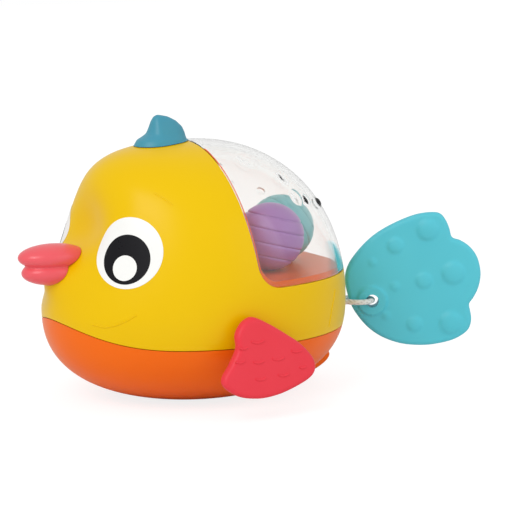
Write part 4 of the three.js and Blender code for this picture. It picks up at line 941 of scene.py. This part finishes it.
def flipper(name, side):
    middle = BLADE_Y + BLADE_THICK / 2
    blade = plate(name, FLIPPER_LINE, BLADE_THICK / 2, BLADE_EDGE)
    ridge_spots = [(x, RIDGE_SINK - BLADE_THICK / 2, z + 2 * size) for x, z, size in SCALES]
    ridges = point_cloud("scale_points", ridge_spots, [2 * size for *_, size in SCALES])
    grow(ridges, ridge_tree(coral_pp))
    for part in (blade, ridges):
        spots = spots_of(part)
        spots[:, 1] -= middle + BLADE_LEAN * (BLADE_TOP - spots[:, 2])
        move_spots(part, spots)
    hub = round_bar(HUB_RADIUS, -middle - 0.5, -HUB_START, "y", (0, 0, 0), 64)
    add_shape(blade, hub)
    melt(blade, voxel_mm=0.32, smoothing=3)
    place = Matrix.Translation(Vector((AXLE_X, 0, AXLE_Z)) * MM)
    if side == "right":
        place = place @ Matrix.Scale(-1, 4, (0, 1, 0))
    blade.data.transform(place)
    if side == "right":
        blade.data.flip_normals()
    cut_with(blade, [round_bar(BORE_RADIUS, -BORE_END, BORE_END, "y", (AXLE_X, 0, AXLE_Z))], "DIFFERENCE")
    ridges.data.transform(place)
    add_shape(blade, ridges)
    face_outwards(blade)
    dress(blade, coral_pp, "paddles", "coral_flipper", f"{side}_flipper")


flipper("left_flipper_blade", "left")
flipper("right_flipper_blade", "right")

# %% [markdown]
# The tail is one thick soft plate in three lobes, with a ray of three bumps in each lobe on both faces and
# an eyelet for the cord. The bumps repeat one lens shape in nine sizes, so they are instances too.

# %% Geometry Nodes tree for bumps
def bump_tree(material):
    tree, sizes = new_tree("tail_bumps", {"Rise": 0.3})
    lens_ = add_node(tree, "GeometryNodeMeshUVSphere", {"Segments": 40, "Rings": 20, "Radius": MM})
    flat = add_node(tree, "ShaderNodeCombineXYZ", {"X": 1.0, "Y": sizes.outputs["Rise"], "Z": 1.0}).outputs[0]
    lens_flat = add_node(tree, "GeometryNodeTransform", {"Geometry": lens_.outputs["Mesh"], "Scale": flat})
    size = add_node(tree, "GeometryNodeInputNamedAttribute", {"Name": "size"}, data_type="FLOAT")
    placed = add_node(tree, "GeometryNodeInstanceOnPoints", {
        "Points": sizes.outputs["Geometry"], "Instance": lens_flat.outputs[0],
        "Scale": size.outputs["Attribute"],
    })
    close_tree(tree, placed.outputs[0], material)
    return tree


# %% Tail
TAIL_LINE = [
    (-5.2, 7.5), (-4.2, 14.2), (0, 20.6), (5.3, 26.1), (11, 30.1), (18.2, 33.7), (24.4, 35.9), (30.2, 36.7),
    (33.8, 36.2), (36.1, 33.7), (37.7, 30.1), (38.9, 26.2), (42.1, 25.1), (46.2, 22.4), (49.4, 18),
    (50.9, 11.5), (50.1, 5.6), (48, 1), (46.3, -1.5), (46.9, -4.9), (47.3, -8.1), (46.4, -11.8),
    (43.7, -14.5), (38.7, -17), (30.7, -18.7), (23.8, -18.9), (17.1, -18), (10.3, -15.5), (4.8, -11.8),
    (0.3, -6.8), (-2.9, -1.3),
]
# Place along and up, and radius
BUMPS = [
    (28.6, 29.7, 4.4), (15.4, 23.1, 3.3), (6.1, 16.1, 1.8), (39.4, 11.7, 4.7), (27.3, 8.5, 3.3),
    (15.4, 6.1, 2), (38.6, -9.3, 4.7), (23.5, -9.8, 3.1), (11.8, -6.1, 1.8),
]
TAIL_HALF, TAIL_EDGE, TAIL_TURN = 2.5, 1.6, -30
EYELET_X, EYELET_RADIUS, RING_RADIUS, RING_RISE = 6.0, 2.7, 6.0, 1.0
tail = plate("tail_soft", TAIL_LINE, TAIL_HALF, TAIL_EDGE)
bump_spots = [(x, side * TAIL_HALF, z) for side in (-1, 1) for x, z, _ in BUMPS]
bumps = grow(point_cloud("bump_points", bump_spots, [size for *_, size in BUMPS] * 2), bump_tree(aqua_tpe))
ring = round_bar(RING_RADIUS, -TAIL_HALF - RING_RISE, TAIL_HALF + RING_RISE, "y", (EYELET_X, 0, 0), 64)
add_shape(tail, bumps, ring)
melt(tail, voxel_mm=0.5, smoothing=4)
cut_with(tail, [round_bar(EYELET_RADIUS, -9, 9, "y", (EYELET_X, 0, 0), 64)], "DIFFERENCE")
round_rims(tail, 0.5, segments=3, degrees=60, sharp_degrees=60)
on_cord = Matrix.Translation(Vector((TAIL_AXIS, 0, CORD_HEIGHT)) * MM)
tail.data.transform(on_cord @ Matrix.Rotation(math.radians(TAIL_TURN), 4, "Z"))
dress(tail, aqua_tpe, "tail", "aqua_soft", "tail")

# %% [markdown]
# The eyes are printed on the head: a white disc, a black pupil and a white glint. A texture could paint
# them, but thin films keep a crisp edge at any size. Each film is a disc thrown onto the head along the
# eye's own axis, and the three lie over each other by a few hundredths of a millimetre.

# %% Printed eyes
EYE_AXIS = np.array([-0.766, -0.569, 0.300])
EYE_SIDES, EYE_RINGS, FILM_THICK, FILM_START, FILM_REACH = 96, 16, 0.05, 12, 40.0
# Name, centre, radius, lift off the shell and ink of each film
PRINTS = [
    ("white", (-43.2, -27.2, 62.2), 13.7, 0.05, white_ink),
    ("pupil", (-43.5, -27.1, 59.6), 9.5, 0.11, black_ink),
    ("glint", (-44.5, -27.6, 56.5), 4.85, 0.17, white_ink),
]
eye_round = round_angles(EYE_SIDES)
level_way = np.cross([0, 0, 1.0], EYE_AXIS)
level_way /= np.linalg.norm(level_way)
steep_way = np.cross(EYE_AXIS, level_way)
eye_ways = np.cos(eye_round)[:, None] * level_way + np.sin(eye_round)[:, None] * steep_way
film_faces = grid_faces(EYE_RINGS, EYE_SIDES)
film_faces.append(tuple(range((EYE_RINGS - 1) * EYE_SIDES, EYE_RINGS * EYE_SIDES)))
for name, centre, radius, lift_, ink in PRINTS:
    rings = [
        np.array(centre) - FILM_START * EYE_AXIS + r * eye_ways for r in np.linspace(radius, 0.4, EYE_RINGS)
    ]
    film = np.vstack([on_body(ring_, np.broadcast_to(EYE_AXIS, ring_.shape), FILM_REACH) for ring_ in rings])
    film = film + EYE_AXIS * lift_
    for side, sign in (("left", 1), ("right", -1)):
        print_ = new_piece(f"{side}_eye_{name}", film * (1, sign, 1), film_faces)
        if sign < 0:
            print_.data.flip_normals()
        modify(print_, "SOLIDIFY", thickness=FILM_THICK * MM, offset=1)
        settle(print_)
        dress(print_, ink, "body", "yellow_shell")

# %% [markdown]
# Four plain pan-head screws with a cross recess hold the hull, heads down in their wells. They are all
# alike, so one tree builds the screw with its recess and sets it on every post.

# %% Geometry Nodes tree for screws
def screw_tree(material):
    tree, sizes = new_tree("pan_head_screw", {
        "Head Radius": 2.6 * MM, "Head Height": 1.9 * MM, "Shank Radius": 1.25 * MM, "Length": 18 * MM,
        "Recess": 0.7 * MM, "Recess Length": 3.2 * MM, "Recess Depth": 2 * MM,
    })
    tall = sizes.outputs["Head Height"]
    head = add_node(tree, "GeometryNodeMeshCylinder", {
        "Vertices": 40, "Radius": sizes.outputs["Head Radius"], "Depth": tall,
    })
    half_head = add_node(tree, "ShaderNodeMath", {0: tall, 1: -0.5}, operation="MULTIPLY").outputs[0]
    head_place = add_node(tree, "ShaderNodeCombineXYZ", {"Z": half_head}).outputs[0]
    head_set = add_node(tree, "GeometryNodeTransform", {
        "Geometry": head.outputs["Mesh"], "Translation": head_place,
    })
    low = add_node(tree, "ShaderNodeMath", {0: tall, 1: -1.0}, operation="MULTIPLY").outputs[0]
    low_place = add_node(tree, "ShaderNodeCombineXYZ", {"Z": low}).outputs[0]
    slots = add_node(tree, "GeometryNodeJoinGeometry")
    for long_way, short_way in (("X", "Y"), ("Y", "X")):
        bar_size = add_node(tree, "ShaderNodeCombineXYZ", {
            long_way: sizes.outputs["Recess Length"], short_way: sizes.outputs["Recess"],
            "Z": sizes.outputs["Recess Depth"],
        })
        bar = add_node(tree, "GeometryNodeMeshCube", {"Size": bar_size.outputs[0]})
        bar_set = add_node(tree, "GeometryNodeTransform", {
            "Geometry": bar.outputs["Mesh"], "Translation": low_place,
        })
        tree.links.new(bar_set.outputs[0], slots.inputs[0])
    recessed = add_node(tree, "GeometryNodeMeshBoolean", {
        "Mesh 1": head_set.outputs[0], "Mesh 2": slots.outputs[0],
    }, operation="DIFFERENCE")
    shank = add_node(tree, "GeometryNodeMeshCone", {
        "Vertices": 24, "Radius Top": 0.7 * MM, "Radius Bottom": sizes.outputs["Shank Radius"],
        "Depth": sizes.outputs["Length"],
    })
    whole = add_node(tree, "GeometryNodeJoinGeometry", {0: recessed.outputs["Mesh"]})
    tree.links.new(shank.outputs["Mesh"], whole.inputs[0])
    placed = add_node(tree, "GeometryNodeInstanceOnPoints", {
        "Points": sizes.outputs["Geometry"], "Instance": whole.outputs[0],
    })
    close_tree(tree, placed.outputs[0], material)
    return tree


# %% Screws
SCREW_HEIGHT = 14.7
screw_spots = new_piece("hull_screws", [(x, y, SCREW_HEIGHT) for x, y in POSTS], [])
hull_screws = grow(screw_spots, screw_tree(bright_steel))
dress(hull_screws, bright_steel, "body", "steel", *(f"hull_screw_{i}" for i in (1, 2, 3, 4)))

# %% [markdown]
# Inside, the cord lies in even turns on the reel's drum and runs straight to the guide. It follows a path,
# so a tree sweeps a small circle along that path.

# %% Wound cord
def sweep_tree(material):
    tree, sizes = new_tree("cord_sweep", {"Cord Radius": CORD_RADIUS * MM})
    line = add_node(tree, "GeometryNodeMeshToCurve", {"Mesh": sizes.outputs["Geometry"]})
    close_with_bead(tree, line.outputs[0], sizes.outputs["Cord Radius"], 14, material)
    return tree


REEL_X, REEL_Z, WOUND_RADIUS, CORD_TURNS, CORD_PITCH, GUIDE_X = 22.179, 20.6, 9.0, 4, 2.75, 60.2
wind = np.linspace(-2 * np.pi * CORD_TURNS, 0, 48 * CORD_TURNS + 1)
wound_line = np.stack([
    REEL_X + WOUND_RADIUS * np.sin(wind),
    -CORD_PITCH * wind / (2 * np.pi),
    REEL_Z + WOUND_RADIUS * np.cos(wind),
], -1)
run_x = np.linspace(REEL_X, GUIDE_X, 20)[1:]
run_line = np.stack([run_x, np.zeros_like(run_x), np.full_like(run_x, CORD_HEIGHT)], -1)
wound_path = np.vstack([wound_line, run_line])
wound = new_piece("wound_cord_turns", wound_path, [], [(i, i + 1) for i in range(len(wound_path) - 1)])
grow(wound, sweep_tree(braided_nylon))
dress(wound, braided_nylon, "body", "white_cord", "wound_cord")

# %% [markdown]
# The mould has a few fine raised lines on the shell: a smile in each cheek, a crease over the eye and a bow
# in front of the stern. They follow the surface, so the same sweep lays a thin bead along points on it.

# %% Raised lines on the shell
CREASES = [
    [(-56, -22.7, 35.4), (-53, -27, 34.7), (-50, -30.6, 35.9), (-47, -33.4, 37.7), (-44.2, -35.7, 40)],
    [(-31.6, -26.6, 84), (-29.4, -29.8, 82.3), (-27.2, -32.5, 80)],
    [(41.3, -38.8, 43), (40.2, -39.9, 39.6), (38.6, -40.9, 36), (37.5, -41.4, 32.3), (36.9, -41.5, 28.7)],
]
CREASE_RADIUS, CREASE_SINK, CREASE_STEPS = 0.35, 0.1, 24
crease_spots, crease_links = [], []
for side in (-1, 1):
    for knots in CREASES:
        knots = np.array(knots, float) * (1, -side, 1)
        even = np.linspace(0, len(knots) - 1, CREASE_STEPS)
        line = np.stack([np.interp(even, np.arange(len(knots)), knots[:, k]) for k in range(3)], -1)
        for _ in range(8):
            height, away = height_above(line)
            line = line - away * (height + CREASE_SINK)[:, None]
        crease_links += [(len(crease_spots) + i, len(crease_spots) + i + 1) for i in range(CREASE_STEPS - 1)]
        crease_spots += list(line)
creases = new_piece("shell_raised_lines", crease_spots, [], crease_links)
grow(creases, sweep_tree(yellow_abs), Cord_Radius=CREASE_RADIUS * MM)
dress(creases, yellow_abs, "body", "yellow_shell")

# %% [markdown]
# The motor, pins, bushes, guide and ferrule are rigid pieces whose CAD shape is right, so they stay as they
# are and only get the finish of their own material.

# %% Finishes of the CAD pieces that stay
finish_of = {"white_acetal": white_acetal, "natural_case": natural_abs, "steel": bright_steel}
for row in frame["record"]["subparts"]:
    node = frame["nodes"][row["node"]]
    if not node.hide_render and row["material_slot"] in finish_of:
        node.data.materials.clear()
        node.data.materials.append(finish_of[row["material_slot"]])
print("CAD pieces that show:", sum(not node.hide_render for node in frame["nodes"].values()))

# %% [markdown]
# White paper and soft lamps stand for the studio. Where the paper is looked at, straight or through the
# dome, it adds its own white and returns less of the lamps' light. The page is then white with a faint
# shadow, while the toy still gets the light that the paper throws back.

# %% Studio
FLOOR_HALF, PAPER_GLOW = 3000, 0.82


def looked_at(tree):
    """Gives 1 for rays that see a thing straight or through the dome, and 0 for rays that light the toy."""
    rays = add_node(tree, "ShaderNodeLightPath").outputs
    return add_node(tree, "ShaderNodeMath", {0: rays["Is Camera Ray"], 1: rays["Is Transmission Ray"]},
                    operation="MAXIMUM").outputs[0]


floor_corners = [(x * FLOOR_HALF, y * FLOOR_HALF, 0) for x, y in ((-1, -1), (1, -1), (1, 1), (-1, 1))]
floor = new_piece("floor", floor_corners, [(0, 1, 2, 3)])
paper, paper_tree, paper_shader = new_material("studio_paper_white")
paper_shader.inputs["Roughness"].default_value = 0.9
paper_shader.inputs["Emission Color"].default_value = (1, 1, 1, 1)
straight = looked_at(paper_tree)
tone = add_node(paper_tree, "ShaderNodeMix", {0: straight, 6: linear("#f0f0f0"), 7: linear("#8c8c8c")},
                data_type="RGBA")
glow = add_node(paper_tree, "ShaderNodeMath", {0: straight, 1: PAPER_GLOW}, operation="MULTIPLY")
paper_tree.links.new(tone.outputs[2], paper_shader.inputs["Base Color"])
paper_tree.links.new(glow.outputs[0], paper_shader.inputs["Emission Strength"])
floor.data.materials.append(paper)
print("paper:", 2 * FLOOR_HALF, "mm wide")

# %% Light from all round
SKY_LIGHT, SKY_SEEN = 0.72, 1.0
world = bpy.data.worlds.new("studio")
world.use_nodes = True
bpy.context.scene.world = world
sky = world.node_tree
level = add_node(sky, "ShaderNodeMapRange", {
    "Value": looked_at(sky), "To Min": SKY_LIGHT, "To Max": SKY_SEEN,
})
sky.links.new(level.outputs["Result"], sky.nodes["Background"].inputs["Strength"])
sky.nodes["Background"].inputs["Color"].default_value = (1, 1, 1, 1)
print("light from all round:", SKY_LIGHT)


# %% Soft lamps
def soft_lamp(name, spot, width, watts):
    lamp = bpy.data.lights.new(name, "AREA")
    lamp.size = width
    lamp.energy = watts
    made = bpy.data.objects.new(name, lamp)
    made.location = spot
    made.rotation_mode = "QUATERNION"
    made.rotation_quaternion = (AIM - Vector(spot)).to_track_quat("-Z", "Y")
    bpy.context.scene.collection.objects.link(made)


soft_lamp("key", (-0.75, -0.5, 0.85), 0.55, 4.4)
soft_lamp("fill", (0.6, -0.9, 0.5), 0.8, 1.2)
print("lamps set")
